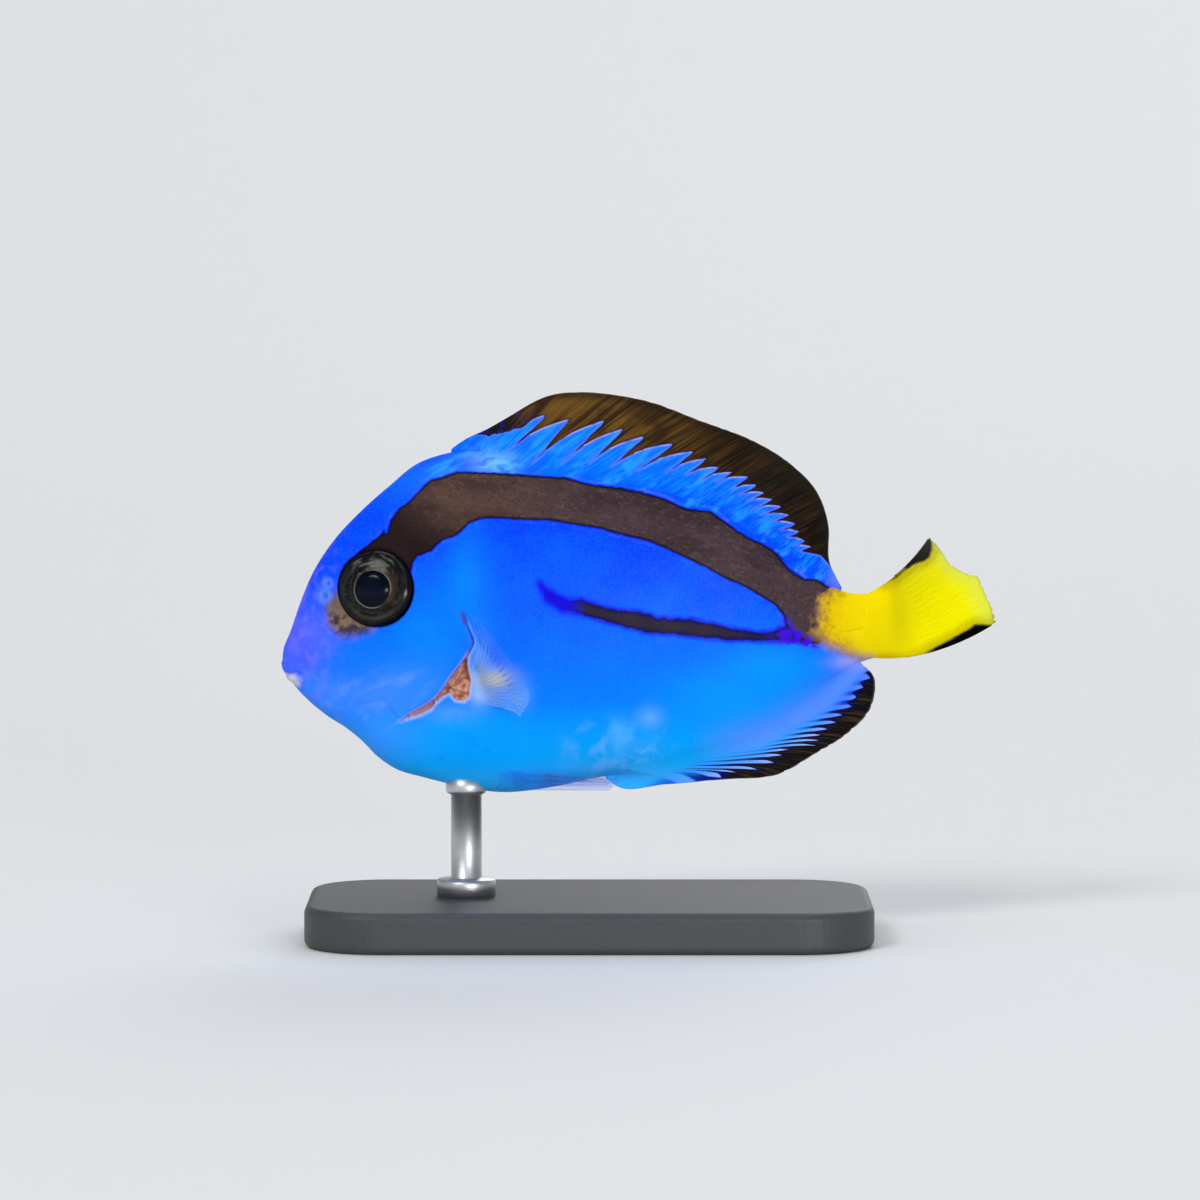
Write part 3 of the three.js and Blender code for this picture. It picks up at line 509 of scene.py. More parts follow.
class Paint:
    """A material whose nodes are added one by one, on Object coordinates in millimetres.

    Where a value is asked for, a word stands for the mark of that name on the mesh."""

    def __init__(self, name, roughness, specular=0.035):
        self.material = bpy.data.materials.new(name)
        self.material.use_nodes = True
        self.tree = self.material.node_tree
        self.shader = self.tree.nodes["Principled BSDF"]
        self.shader.inputs["Roughness"].default_value = roughness
        self.shader.inputs["Specular IOR Level"].default_value = specular
        coordinates = self.tree.nodes.new("ShaderNodeTexCoord")
        self.places = self.mapped(coordinates.outputs["Object"], scale=(1 / MM, 1 / MM, 1 / MM))

    def feed(self, socket, value):
        if isinstance(value, str):
            value = self.mark(value)
        if isinstance(value, bpy.types.NodeSocket):
            self.tree.links.new(value, socket)
        else:
            socket.default_value = value

    def mapped(self, places, scale=(1, 1, 1), rotation=(0, 0, 0)):
        node = self.tree.nodes.new("ShaderNodeMapping")
        self.feed(node.inputs["Vector"], places)
        node.inputs["Scale"].default_value = scale
        node.inputs["Rotation"].default_value = rotation
        return node.outputs["Vector"]

    def mark(self, name):
        node = self.tree.nodes.new("ShaderNodeAttribute")
        node.attribute_name = name
        return node.outputs["Color" if name == "ground" else "Fac"]

    def math(self, operation, *values):
        node = self.tree.nodes.new("ShaderNodeMath")
        node.operation = operation
        for socket, value in zip(node.inputs, values):
            self.feed(socket, value)
        return node.outputs[0]

    def times(self, first, second):
        return self.math("MULTIPLY", first, second)

    def plus(self, first, second):
        return self.math("ADD", first, second)

    def minus(self, first, second):
        return self.math("SUBTRACT", first, second)

    def most(self, first, second):
        return self.math("MAXIMUM", first, second)

    def off(self, value, middle):
        """How far a value is from a number, either way."""
        return self.math("ABSOLUTE", self.minus(value, middle))

    def step(self, value, low, high, to_low=0.0, to_high=1.0):
        """A soft step from to_low to to_high as value goes from low to high."""
        node = self.tree.nodes.new("ShaderNodeMapRange")
        node.interpolation_type = "SMOOTHSTEP"
        self.feed(node.inputs["Value"], value)
        for key, number in [("From Min", low), ("From Max", high), ("To Min", to_low), ("To Max", to_high)]:
            node.inputs[key].default_value = number
        return node.outputs["Result"]

    def mix(self, share, low, high):
        """The colour low at a share of 0 and high at 1. Three numbers are a shade as seen on a screen."""
        node = self.tree.nodes.new("ShaderNodeMix")
        node.data_type = "RGBA"
        sockets = {socket.identifier: socket for socket in [*node.inputs, *node.outputs]}
        self.feed(sockets["Factor_Float"], share)
        for key, colour in (("A_Color", low), ("B_Color", high)):
            self.feed(sockets[key], linear(*colour) if isinstance(colour, tuple) else colour)
        return sockets["Result_Color"]

    def noise(self, scale, detail=3.0, places=None):
        node = self.tree.nodes.new("ShaderNodeTexNoise")
        self.feed(node.inputs["Vector"], places or self.places)
        node.inputs["Scale"].default_value = scale
        node.inputs["Detail"].default_value = detail
        return node.outputs["Fac"]

    def waver(self, scale, height, detail=3.0):
        """Noise either side of zero, to roughen the edge of a marking."""
        return self.math("MULTIPLY_ADD", self.noise(scale, detail), 2 * height, -height)

    def cells(self, scale, places=None):
        node = self.tree.nodes.new("ShaderNodeTexVoronoi")
        self.feed(node.inputs["Vector"], places or self.places)
        node.inputs["Scale"].default_value = scale
        return node.outputs["Distance"]

    def drawn_out(self, degrees, length):
        """Places drawn out along the fish in a direction that many degrees above its axis."""
        turned = self.mapped(self.places, rotation=(0, math.radians(degrees), 0))
        return self.mapped(turned, scale=(1 / length, 1, 1))

    def vector(self, x, y, z=0.0):
        node = self.tree.nodes.new("ShaderNodeCombineXYZ")
        for socket, value in zip(node.inputs, (x, y, z)):
            self.feed(socket, value)
        return node.outputs["Vector"]

    def finish(self, colour, height=None, depth=0.01, roughness=None):
        """Sets the colour, a bump from a height of 0 to 1 and its depth, and a varying roughness."""
        self.feed(self.shader.inputs["Base Color"], colour)
        if height is not None:
            bump = self.tree.nodes.new("ShaderNodeBump")
            bump.inputs["Distance"].default_value = depth * MM
            self.feed(bump.inputs["Height"], height)
            self.feed(self.shader.inputs["Normal"], bump.outputs["Normal"])
        if roughness is not None:
            self.feed(self.shader.inputs["Roughness"], roughness)
        return self.material


def slanting(paint, blue, share):
    """Pale and deep streaks over a share of the blue, slanting up and back on nape and dorsal fin alike."""
    streaks = paint.noise(2.2, 4, paint.drawn_out(38, 4))
    pale = paint.times(share, paint.step(streaks, 0.5, 0.66, 0, 0.5))
    deep = paint.times(share, paint.step(streaks, 0.3, 0.44, 0.45, 0))
    return paint.mix(deep, paint.mix(pale, blue, (52, 168, 255)), (0, 66, 244))


def clouded_ground(paint):
    """The blue ground with its clouding, and its fine scales, each with a small painted highlight in its
    middle.
    """
    blue = paint.mark("ground")
    blue = paint.mix(paint.step(paint.noise(0.45, 3), 0.42, 0.68, 0, 0.16), blue, (10, 130, 255))
    blue = paint.mix(paint.step(paint.noise(2.6, 5), 0.58, 0.76, 0, 0.14), blue, (0, 52, 226))
    # Each scale's paler middle is a painted highlight.
    return paint.mix(paint.step(paint.cells(8), 0.1, 0.7, 0.12, 0), blue, (20, 150, 255))


def paint_ground(paint):
    """The clouded ground, streaked above the band, with the pale patch on the nape."""
    return pale_nape(paint, slanting(paint, clouded_ground(paint), paint.step("top_strip", -0.02, 0.2)))


def pale_nape(paint, blue):
    """The streaked pale patch at the dorsal fin's front corner, on the skin and on the fin's foot."""
    streaks = paint.noise(4.2, 4, paint.drawn_out(42, 3))
    patch = paint.times("nape_patch", paint.step(streaks, 0.34, 0.58, 0.15, 0.85))
    return paint.mix(patch, blue, (116, 190, 246))


def paint_head(paint, colour):
    """The mottled snout, the brown patch under the eye, the pale lower lip and the dark rims."""
    mottle = paint.noise(2.4, 3)
    snout = paint.step("along_fish", 1.0, 3.0, 0.3, 0)
    colour = paint.mix(paint.times(snout, paint.step(mottle, 0.44, 0.64)), colour, (128, 120, 255))
    brown = paint.mix(paint.step(paint.noise(3.2, 3), 0.36, 0.62), (60, 46, 28), (126, 100, 66))
    brown = paint.mix(paint.step("up_fish", 0.1, 0.8, 0, 0.8), brown, (104, 94, 72))
    patch = paint.plus("eye_patch", paint.waver(1.5, 0.18, 2))
    colour = paint.mix(paint.step(patch, -0.34, 0.24, 0, 0.97), colour, brown)
    lip = paint.step(paint.plus("lower_lip", paint.waver(3, 0.08)), -0.14, 0.16, 0, 0.9)
    colour = paint.mix(lip, colour, (210, 208, 214))
    wisps = paint.step(paint.noise(1.8, 4, paint.drawn_out(28, 2.6)), 0.48, 0.7, 0, 0.26)
    cheek = paint.step(paint.off("up_fish", -2.9), 0.5, 1.5, 1, 0)
    cheek = paint.times(cheek, paint.step(paint.off("along_fish", 3.6), 1.6, 3.0, 1, 0))
    cheek = paint.times(cheek, paint.step("behind_cover", -0.3, 0.0, 1, 0))
    colour = paint.mix(paint.times(cheek, wisps), colour, (132, 164, 255))
    colour = paint.mix(paint.step("from_eye", 1.47, 1.54, 1, 0), colour, (4, 8, 34))
    for u, v, radius in NOSTRILS:
        away = nostril_distance(paint, u, v)
        colour = paint.mix(paint.step(away, radius * 0.8, radius * 2.4, 0.6, 0), colour, (98, 142, 228))
        colour = paint.mix(paint.step(away, radius * 0.3, radius * 0.62, 0.35, 0), colour, (40, 60, 150))
    return colour


def nostril_distance(paint, u, v):
    """How far a place on the skin is from a nostril, by its own length and height."""
    du = paint.minus("along_fish", u)
    dv = paint.minus("up_fish", v)
    return paint.math("SQRT", paint.plus(paint.times(du, du), paint.times(dv, dv)))


def band_fringe(paint, colour, band, stripe, front):
    """The thin violet edges of the band and the stripe, with a broken lavender line outside the band."""
    fringe = paint.most(paint.step(band, -0.07, 0.0, 0, 0.65), paint.step(stripe, -0.2, -0.03, 0, 0.75))
    fringe = paint.most(fringe, paint.times(front, paint.step(stripe, -0.34, 0.02)))
    colour = paint.mix(fringe, colour, (6, 2, 214))
    strength = paint.math("MULTIPLY_ADD", paint.step("top_strip", -0.05, 0.04), 0.4, 0.16)
    uneven = paint.step(paint.noise(1.8, 4), 0.42, 0.62, 0.0, 0.9)
    line = paint.times(strength, paint.step(paint.off(band, -0.11), 0.02, 0.07, 0.7, 0))
    return paint.mix(paint.times(line, uneven), colour, (104, 104, 255))


def band_brown(paint, band):
    """The band's clouded and grained brown, darker round the eye and along its edges."""
    reddish = paint.mix(paint.step("along_fish", 6, 13), (82, 59, 51), (67, 53, 57))
    cloud = paint.step(paint.noise(0.9, 4, paint.drawn_out(-8, 2.4)), 0.4, 0.62, 0, 0.65)
    brown = paint.mix(cloud, reddish, (46, 34, 38))
    grain = paint.step(paint.noise(7, 5, paint.drawn_out(-8, 2)), 0.5, 0.68, 0, 0.4)
    brown = paint.mix(grain, brown, (96, 77, 76))
    brown = paint.mix(paint.step(paint.noise(9, 5), 0.32, 0.48, 0.4, 0), brown, (38, 26, 30))
    brown = paint.mix(paint.step(paint.noise(15, 2), 0.64, 0.76, 0, 0.25), brown, (134, 112, 108))
    brown = paint.mix(paint.step("from_eye", 2.2, 4.6, 0.95, 0), brown, (26, 13, 16))
    return paint.mix(paint.step(band, 0.03, 0.14, 0.9, 0), brown, (12, 5, 26))


def paint_band(paint, colour):
    """The brown-black band along the back, the dark stripe under it and the violet net where they join."""
    band = paint.plus("band", paint.waver(4.5, 0.045))
    stripe = paint.plus("stripe", paint.waver(3.2, 0.1, 4))
    front = paint.step("along_fish", 11.0, 12.0, 1, 0)
    colour = band_fringe(paint, colour, band, stripe, front)
    colour = paint.mix(paint.step(band, -0.02, 0.03), colour, band_brown(paint, band))
    dark = paint.mix(paint.step(stripe, 0.03, 0.22), (14, 4, 70), (40, 33, 47))
    dark = paint.mix(front, dark, (10, 2, 200))
    colour = paint.mix(paint.step(stripe, -0.04, 0.05), colour, dark)
    joint = paint.times(paint.step("along_fish", 18.6, 19.8), paint.step(band, 0.35, 0.1))
    joint = paint.times(joint, paint.step("up_fish", 0.5, -0.3))
    net = paint.times(joint, paint.step(paint.noise(3.4, 4), 0.42, 0.56))
    near_edge = paint.most(paint.step(band, -0.3, -0.05), paint.step(stripe, -0.24, 0.0))
    return paint.mix(paint.times(net, near_edge), colour, (58, 8, 214))


def paint_tail_root(paint, colour):
    """The brown freckles and the yellow that runs on into the tail fin."""
    low = paint.step("up_fish", -0.9, -0.2)
    ragged = paint.times(paint.waver(3.4, 0.55, 5), paint.most(low, 0.12))
    yellow = paint.plus("yellow", ragged)
    tan = paint.mix(paint.noise(5, 3), (112, 78, 52), (188, 142, 84))
    colour = paint.mix(paint.step(yellow, -0.45, 0.05, 0, 0.85), colour, tan)
    gold = paint.mix(paint.step("along_fish", 21, 23), (222, 188, 0), (230, 208, 0))
    dull = paint.times(paint.step(yellow, 0.0, 0.7, 0.75, 0), paint.step("along_fish", 22.0, 23.0, 1, 0.2))
    gold = paint.mix(dull, gold, (196, 156, 30))
    freckles = paint.times(paint.step(yellow, 0.1, 0.9, 0.5, 0), paint.step(paint.noise(6, 4), 0.44, 0.64))
    freckles = paint.times(freckles, paint.step("along_fish", 21.7, 22.6, 1, 0))
    gold = paint.mix(freckles, gold, (140, 92, 20))
    return paint.mix(paint.step(yellow, -0.2, 0.3), colour, gold)


def paint_gill_opening(paint, colour):
    """The raw flesh in the opening, the pale rim round it, and above it the slit as a line of painted
    shadow, with a painted highlight along the cover's edge and a painted lit line lower down.
    """
    opening = paint.mark("gill_opening")
    behind = paint.mark("behind_cover")
    down = paint.mark("down_cover")
    upper = paint.times(paint.step(down, 0.04, 0.1), paint.step(down, 0.36, 0.42, 1, 0))
    # A pale line just behind the cover's edge: a painted highlight.
    pale = paint.times(upper, paint.step(paint.off(behind, 0.11), 0.02, 0.07, 0.4, 0))
    colour = paint.mix(pale, colour, (128, 164, 236))
    # A dark line along the slit: painted shadow.
    dark = paint.times(upper, paint.step(paint.off(behind, 0.03), 0.01, 0.05, 0.8, 0))
    colour = paint.mix(dark, colour, (38, 52, 120))
    colour = paint.mix(paint.step("cover_notch", -0.06, 0.05, 0, 0.75), colour, (60, 52, 132))
    lower = paint.times(paint.step(behind, 0.0, 0.1), paint.step(opening, -0.13, 0.0, 0, 0.55))
    colour = paint.mix(lower, colour, (190, 196, 222))
    # A pale line at the lower cover edge: a painted highlight.
    lit = paint.times(paint.step(down, 0.34, 0.42), paint.step(paint.off(behind, -0.05), 0.01, 0.06, 0.8, 0))
    colour = paint.mix(lit, colour, (150, 150, 255))
    flesh = paint.mix(paint.step(paint.noise(4.5, 4), 0.36, 0.62), (142, 82, 66), (198, 148, 124))
    flesh = paint.mix(paint.step("along_fish", 5.7, 6.6, 0.85, 0), flesh, (180, 134, 146))
    return paint.mix(paint.step(opening, -0.01, 0.04), colour, flesh)


def skin_paint():
    paint = Paint("fish_skin", roughness=0.42, specular=0.04)
    colour = paint_ground(paint)
    # Pale wisps low on the middle of the belly: painted sheen, laid with the belly's whitish patches.
    wisps = paint.step(paint.noise(1.2, 5, paint.drawn_out(60, 1.4)), 0.46, 0.62, 0, 0.4)
    low = paint.times(paint.step("up_fish", -5.0, -3.2, 1, 0), wisps)
    middle = paint.step(paint.off("along_fish", 13.2), 1.0, 2.6, 1, 0)
    colour = paint.mix(paint.times(low, middle), colour, (120, 186, 255))
    colour = paint_head(paint, colour)
    colour = paint_band(paint, colour)
    colour = paint_tail_root(paint, colour)
    colour = paint_gill_opening(paint, colour)
    scales = paint.math("MULTIPLY_ADD", paint.noise(3.2, 4), 0.6, paint.times(paint.cells(8), 0.5))
    return paint.finish(colour, scales, 0.01, paint.step(paint.noise(1.2, 3), 0.3, 0.7, 0.36, 0.48))


def closed_lathe(rings, sides):
    """Faces between rings of equal count and over the first and the last of them."""
    last = (rings - 1) * sides
    ends = [list(range(sides))[::-1], list(range(last, last + sides))]
    return lathe_faces(rings, sides).tolist() + ends


def skin_piece():
    sides = 232
    shares = skin_rows()
    angles = np.linspace(0, 2 * math.pi, sides, endpoint=False)
    rise = np.sin(angles)
    level = 0.5 + 0.5 * (rise - BELLY_BIAS * (1 - rise**2))
    wide = np.sign(np.cos(angles)) * np.abs(np.cos(angles)) ** KEEL
    back = spline(BACK, shares)
    belly = spline(BELLY, shares)
    half = spline(half_points, shares)[:, 1]
    u = belly[:, :1] + (back - belly)[:, :1] * level
    v = belly[:, 1:] + (back - belly)[:, 1:] * level
    out = half[:, None] * wide
    plain = at(u, out, v)
    normal = np.cross(np.gradient(plain, axis=0), np.roll(plain, -1, 1) - np.roll(plain, 1, 1))
    normal /= np.maximum(np.linalg.norm(normal, axis=-1, keepdims=True), 1e-9)
    normal *= np.sign(np.sum(normal[:, 0] * [0, 1, 0]))
    spots = plain + normal * relief(u, v)[..., None]
    snout, snout_marks = rounded_end(spots[0], u[0], out[0], v[0], bulge=-0.09)
    tail, tail_marks = rounded_end(spots[-1], u[-1], out[-1], v[-1], bulge=0.25)
    rings = np.concatenate([snout[::-1], spots, tail])
    snout_marks = [values[::-1] for values in snout_marks]
    marks_at = [np.concatenate(parts) for parts in zip(snout_marks, (u, out, v), tail_marks)]
    return add_mesh("skin", rings, closed_lathe(len(rings), sides), skin_paint(), skin_marks(*marks_at))


def rounded_end(ring, u, out, v, bulge):
    """Rings that draw together and close an end of the body, bulging forward or back."""
    hub = ring.mean(0)
    rings = []
    marks = []
    for turn in np.linspace(0, math.pi / 2, 8)[1:]:
        share = max(math.cos(turn), 0.02)
        rings.append(hub + (ring - hub) * share + np.array([bulge * math.sin(turn), 0, 0]))
        marks.append([m.mean() + (m - m.mean()) * share for m in (u, out, v)])
    return np.array(rings), [np.array([m[k] for m in marks]) for k in range(3)]


skin = skin_piece()
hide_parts("head", "trunk", "tail_base")
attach(skin, "root")


# Dorsal fin
# One sheet of thin skin on 28 rays, nine stiff spines and nineteen that fork, along the whole back.
# On the cast it is one web with rays raised on both faces, and its foot flows out of the body's top edge.
FIN_INSET = 0.008
FILLET = 0.5
WEB_TIP = 0.07
WEB_TAPER = 0.08
DORSAL = {
    "rays": 28, "spines": 9, "radii": (0.1, 0.042), "start": 0.1, "fork": 0.42, "spread": 0.17,
    "per_ray": 10, "rows": 44, "ragged": 0.005,
    "from": 6.7, "to": 21.5, "sunk": 0.9, "bow": 0.0, "lead": 0.02, "inside": 0.1,
    "edge": [
        (6.55, 6.6), (7.2, 7.05), (8, 7.42), (8.85, 7.9), (10.27, 8.68), (11.63, 8.87), (14.24, 8.52),
        (16.25, 7.78), (18.35, 6.98), (19.8, 6.08), (20.83, 5), (21.3, 3.7), (21.34, 2.2), (21.9, 1.1),
    ],
    "tips": [
        (0, 0), (0.037, 0.15), (0.074, 0.235), (0.12, 0.31), (0.25, 0.43), (0.36, 0.53), (0.6, 0.67),
        (0.8, 0.845), (0.9, 0.925), (1, 1),
    ],
}
# The blue runs up into the brown in pointed waves: the tip and the foot of each, from front to rear.
DORSAL_WAVES = [
    ((10.26, 7.96), (9.03, 6.7)), ((11.18, 7.79), (10.04, 6.33)), ((12.55, 7.74), (11.14, 6.25)),
    ((13.27, 7.42), (12.2, 6.25)), ((14.09, 7.12), (13.09, 6.13)), ((15.23, 6.85), (14.09, 5.95)),
    ((15.99, 6.54), (15.18, 5.84)), ((16.51, 6.28), (16.02, 5.79)), ((17.0, 5.94), (16.6, 5.58)),
    ((17.49, 5.74), (17.18, 5.47)), ((18.14, 5.56), (17.76, 5.2)), ((18.45, 5.25), (18.07, 4.96)),
    ((18.74, 4.96), (18.39, 4.71)), ((19.08, 4.69), (18.65, 4.42)), ((19.39, 4.42), (18.96, 4.16)),
    ((19.72, 4.09), (19.32, 3.86)), ((19.97, 3.75), (19.68, 3.55)), ((20.11, 3.44), (19.92, 3.26)),
    ((20.33, 3.08), (20.17, 2.93)), ((20.55, 2.86), (20.44, 2.7)),
]
WAVES_START = [(6.2, 7.4), (7.3, 7.3), (7.75, 7.2), (8.5, 7.25), (9.07, 7.44), (9.4, 7.48)]
WAVES_END = [(20.95, 2.52), (21.42, 1.98), (22.0, 1.3)]
WAVE_BULGE = 0.07
WAVE_TIP = 0.12
WAVE_TIP_WIDE = 0.45
SLIT_END = 0.28
UNDER_WAVES = [(21.9, 0.4), (21, 1), (19, 2), (16, 4), (12, 5), (8, 5.4), (6.2, 6)]


def even_spline(points):
    """Shares of a line's points that lie evenly along its length, as a function from length to place."""
    curve = spline(points, dense)
    length = np.concatenate([[0], np.cumsum(np.linalg.norm(np.diff(curve, axis=0), axis=1))])
    return lambda share: np.stack(
        [np.interp(np.asarray(share) * length[-1], length, curve[:, k]) for k in range(curve.shape[1])], -1
    )


def middle_fin(plan, body_line, outward):
    """The surface of a fin on the fish's middle: places for shares across its rays and along them."""
    edge = even_spline(plan["edge"])
    lean = spline(plan["tips"], dense)

    def surface(across, along):
        across, along = np.broadcast_arrays(np.asarray(across, float), np.asarray(along, float))
        u = plan["from"] + (plan["to"] - plan["from"]) * across
        root = np.stack([u, np.interp(u, *body_line.T) - outward * plan["sunk"]], -1)
        tip = edge(FIN_INSET + (1 - 2 * FIN_INSET) * np.interp(across, *lean.T))
        t = np.maximum(0, (along - plan["lead"]) / (1 - plan["lead"]))
        spot = root + (tip - root) * t[..., None]
        buried = outward * plan["inside"] * np.maximum(0, 1 - along / plan["lead"])
        lift = plan["bow"] * np.sin(math.pi * t**2) - buried
        return at(spot[..., 0], 0.0, spot[..., 1] + lift)

    return surface


def tail_turn(u):
    """How much thinner the body is square to its swung middle than it is from side to side."""
    return 1 / np.hypot(1, 2 * SWING_RATE * np.maximum(0, u - SWING_START))


def flowing_foot(surface, body_line, outward, front=0.05, rear=0.05):
    """The thickness of a web that leaves the body's sides as a fillet does and thins towards its edge."""

    def thickness(across, along):
        u, _, v = np.moveaxis(surface(across, along), -1, 0)
        edge = np.interp(u, *body_line.T)
        proud = outward * (v - edge)
        fade = np.exp(-np.maximum(proud + FILLET, 0) * KEEL / 2 / FILLET)
        fillet = flank(u, edge - outward * FILLET) * fade
        body = np.where(proud < -FILLET, flank(u, v), fillet)
        # A little proud of the skin where it comes out, and inside it further down.
        body *= 1.03 - 0.13 * smooth(-proud, FILLET - 0.15, FILLET + 0.4)
        ends = smooth(across, 0, front) * smooth(1 - across, 0, rear) * tail_turn(u)
        return np.hypot(WEB_TIP + WEB_TAPER * (1 - along), 2 * body * ends)

    return thickness


def sheet_faces(columns, rows):
    """Faces of two like grids joined round their rim."""
    c, r = np.meshgrid(np.arange(columns - 1), np.arange(rows - 1), indexing="ij")
    here = (c * rows + r).ravel()
    front = np.stack([here, here + rows, here + rows + 1, here + 1], -1)
    far = columns * rows
    rim = [c * rows for c in range(columns)]
    rim += [(columns - 1) * rows + r for r in range(1, rows)]
    rim += [c * rows + rows - 1 for c in range(columns - 2, -1, -1)]
    rim += list(range(rows - 2, 0, -1))
    rim = np.array(rim)
    after = np.roll(rim, -1)
    border = np.stack([rim, rim + far, after + far, after], -1)
    return np.concatenate([front, front[:, ::-1] + far, border])


def facing_out(piece):
    """Turns a closed piece's faces outwards."""
    tool = bmesh.new()
    tool.from_mesh(piece.data)
    bmesh.ops.remove_doubles(tool, verts=tool.verts, dist=1e-7)
    bmesh.ops.recalc_face_normals(tool, faces=tool.faces)
    tool.to_mesh(piece.data)
    tool.free()


def web(name, plan, surface, thickness, mark, material):
    """A fin's skin as a closed sheet, of a thickness given by place and worn between its rays."""
    rays = plan["rays"]
    rows = plan["rows"]
    columns = (rays - 1) * plan["per_ray"] + 1
    across, along = np.meshgrid(np.linspace(0, 1, columns), np.linspace(0, 1, rows) ** 0.9, indexing="ij")
    ray = across * (rays - 1)
    between = np.abs(ray - np.round(ray)) * 2
    worn = np.random.default_rng(rays).uniform(0.1, 1, rays)[np.minimum(ray.astype(int), rays - 2)]
    reach = along * (1 - plan["ragged"] * worn * between**2)
    middle = surface(across, reach)
    normal = np.cross(np.gradient(middle, axis=0), np.gradient(middle, axis=1))
    normal /= np.maximum(np.linalg.norm(normal, axis=-1, keepdims=True), 1e-9)
    half = (thickness(across, reach) / 2)[..., None]
    spots = np.stack([middle + normal * half, middle - normal * half])
    marks = {key: np.concatenate([values.reshape(columns * rows, -1).squeeze()] * 2)
             for key, values in mark(across, reach).items()}
    piece = add_mesh(name, spots, sheet_faces(columns, rows).tolist(), material, marks)
    facing_out(piece)
    piece.data.shade_smooth()
    return piece


def ray_tree():
    """Geometry Nodes that turn lines into tapering round rays."""
    tree = bpy.data.node_groups.new("fin_rays", "GeometryNodeTree")
    tree.interface.new_socket("Geometry", in_out="INPUT", socket_type="NodeSocketGeometry")
    for name in ("Foot radius", "Tip radius"):
        tree.interface.new_socket(name, in_out="INPUT", socket_type="NodeSocketFloat")
    tree.interface.new_socket("Sides", in_out="INPUT", socket_type="NodeSocketInt")
    tree.interface.new_socket("Material", in_out="INPUT", socket_type="NodeSocketMaterial")
    tree.interface.new_socket("Geometry", in_out="OUTPUT", socket_type="NodeSocketGeometry")
    kinds = {
        "given": "NodeGroupInput", "curve": "GeometryNodeMeshToCurve",
        "along": "GeometryNodeSplineParameter", "taper": "ShaderNodeMapRange",
        "ring": "GeometryNodeCurvePrimitiveCircle",
        "tube": "GeometryNodeCurveToMesh", "real": "GeometryNodeRealizeInstances",
        "shade": "GeometryNodeSetShadeSmooth", "paint": "GeometryNodeSetMaterial", "made": "NodeGroupOutput",
    }
    nodes = {key: tree.nodes.new(kind) for key, kind in kinds.items()}
    nodes["ring"].inputs["Radius"].default_value = 1.0
    nodes["tube"].inputs["Fill Caps"].default_value = True
    for source, leaving, target, entering in [
        ("given", "Geometry", "curve", "Mesh"), ("curve", "Curve", "tube", "Curve"),
        ("given", "Sides", "ring", "Resolution"), ("ring", "Curve", "tube", "Profile Curve"),
        ("along", "Factor", "taper", "Value"), ("given", "Foot radius", "taper", "To Min"),
        ("given", "Tip radius", "taper", "To Max"), ("taper", "Result", "tube", "Scale"),
        ("tube", "Mesh", "real", "Geometry"), ("real", "Geometry", "shade", "Geometry"),
        ("shade", "Geometry", "paint", "Geometry"), ("given", "Material", "paint", "Material"),
        ("paint", "Geometry", "made", "Geometry"),
    ]:
        tree.links.new(nodes[source].outputs[leaving], nodes[target].inputs[entering])
    return tree


RAY_SIDES = 8
RAY_END = 0.975
RAYS = ray_tree()


def grown(name, lines, marks, material, radii):
    """A piece of tapering cords along lines of places on the fish, as plain mesh."""
    mesh = bpy.data.meshes.new(name)
    spots = (np.concatenate(lines) + (SNOUT_X, 0, AXIS_Z)) * MM
    ends = np.cumsum([len(line) for line in lines])
    edges = [(i, i + 1) for end, line in zip(ends, lines) for i in range(end - len(line), end - 1)]
    mesh.from_pydata(spots.tolist(), edges, [])
    for key, values in marks.items():
        add_attribute(mesh, key, values)
    piece = add_object(name, mesh)
    modifier = piece.modifiers.new("rays", "NODES")
    modifier.node_group = RAYS
    sockets = {item.name: item.identifier for item in RAYS.interface.items_tree if item.in_out == "INPUT"}
    foot, tip = radii
    given = {"Foot radius": foot * MM, "Tip radius": tip * MM, "Sides": RAY_SIDES, "Material": material}
    for key, value in given.items():
        modifier[sockets[key]] = value
    found = piece.evaluated_get(bpy.context.evaluated_depsgraph_get())
    solid = bpy.data.meshes.new_from_object(found)
    piece.modifiers.clear()
    piece.data = solid
    return piece


def rays_on(name, plan, surface, mark, material):
    """Rays on both faces of a fin: stiff spines first, then rays that part in two towards the edge."""
    last = plan["rays"] - 1
    fork = plan["fork"]
    parts = []
    for ray in range(plan["rays"]):
        if ray < plan["spines"]:
            spine = np.linspace(plan["start"], RAY_END, 40)
            parts.append((np.full_like(spine, ray), spine))
            continue
        stem = np.linspace(plan["start"], fork + 0.1, 20)
        parts.append((np.full_like(stem, ray), stem))
        branch = np.linspace(fork, RAY_END, 26)
        opened = plan["spread"] * smooth(branch, fork, fork + 0.3)
        parts += [(np.clip(ray + turn * opened, 0, last), branch) for turn in (-1, 1)]
    lines = [surface(across / last, along) for across, along in parts]
    across, along = (np.concatenate(values) for values in zip(*parts))
    return grown(name, lines, mark(across / last, along), material, plan["radii"])


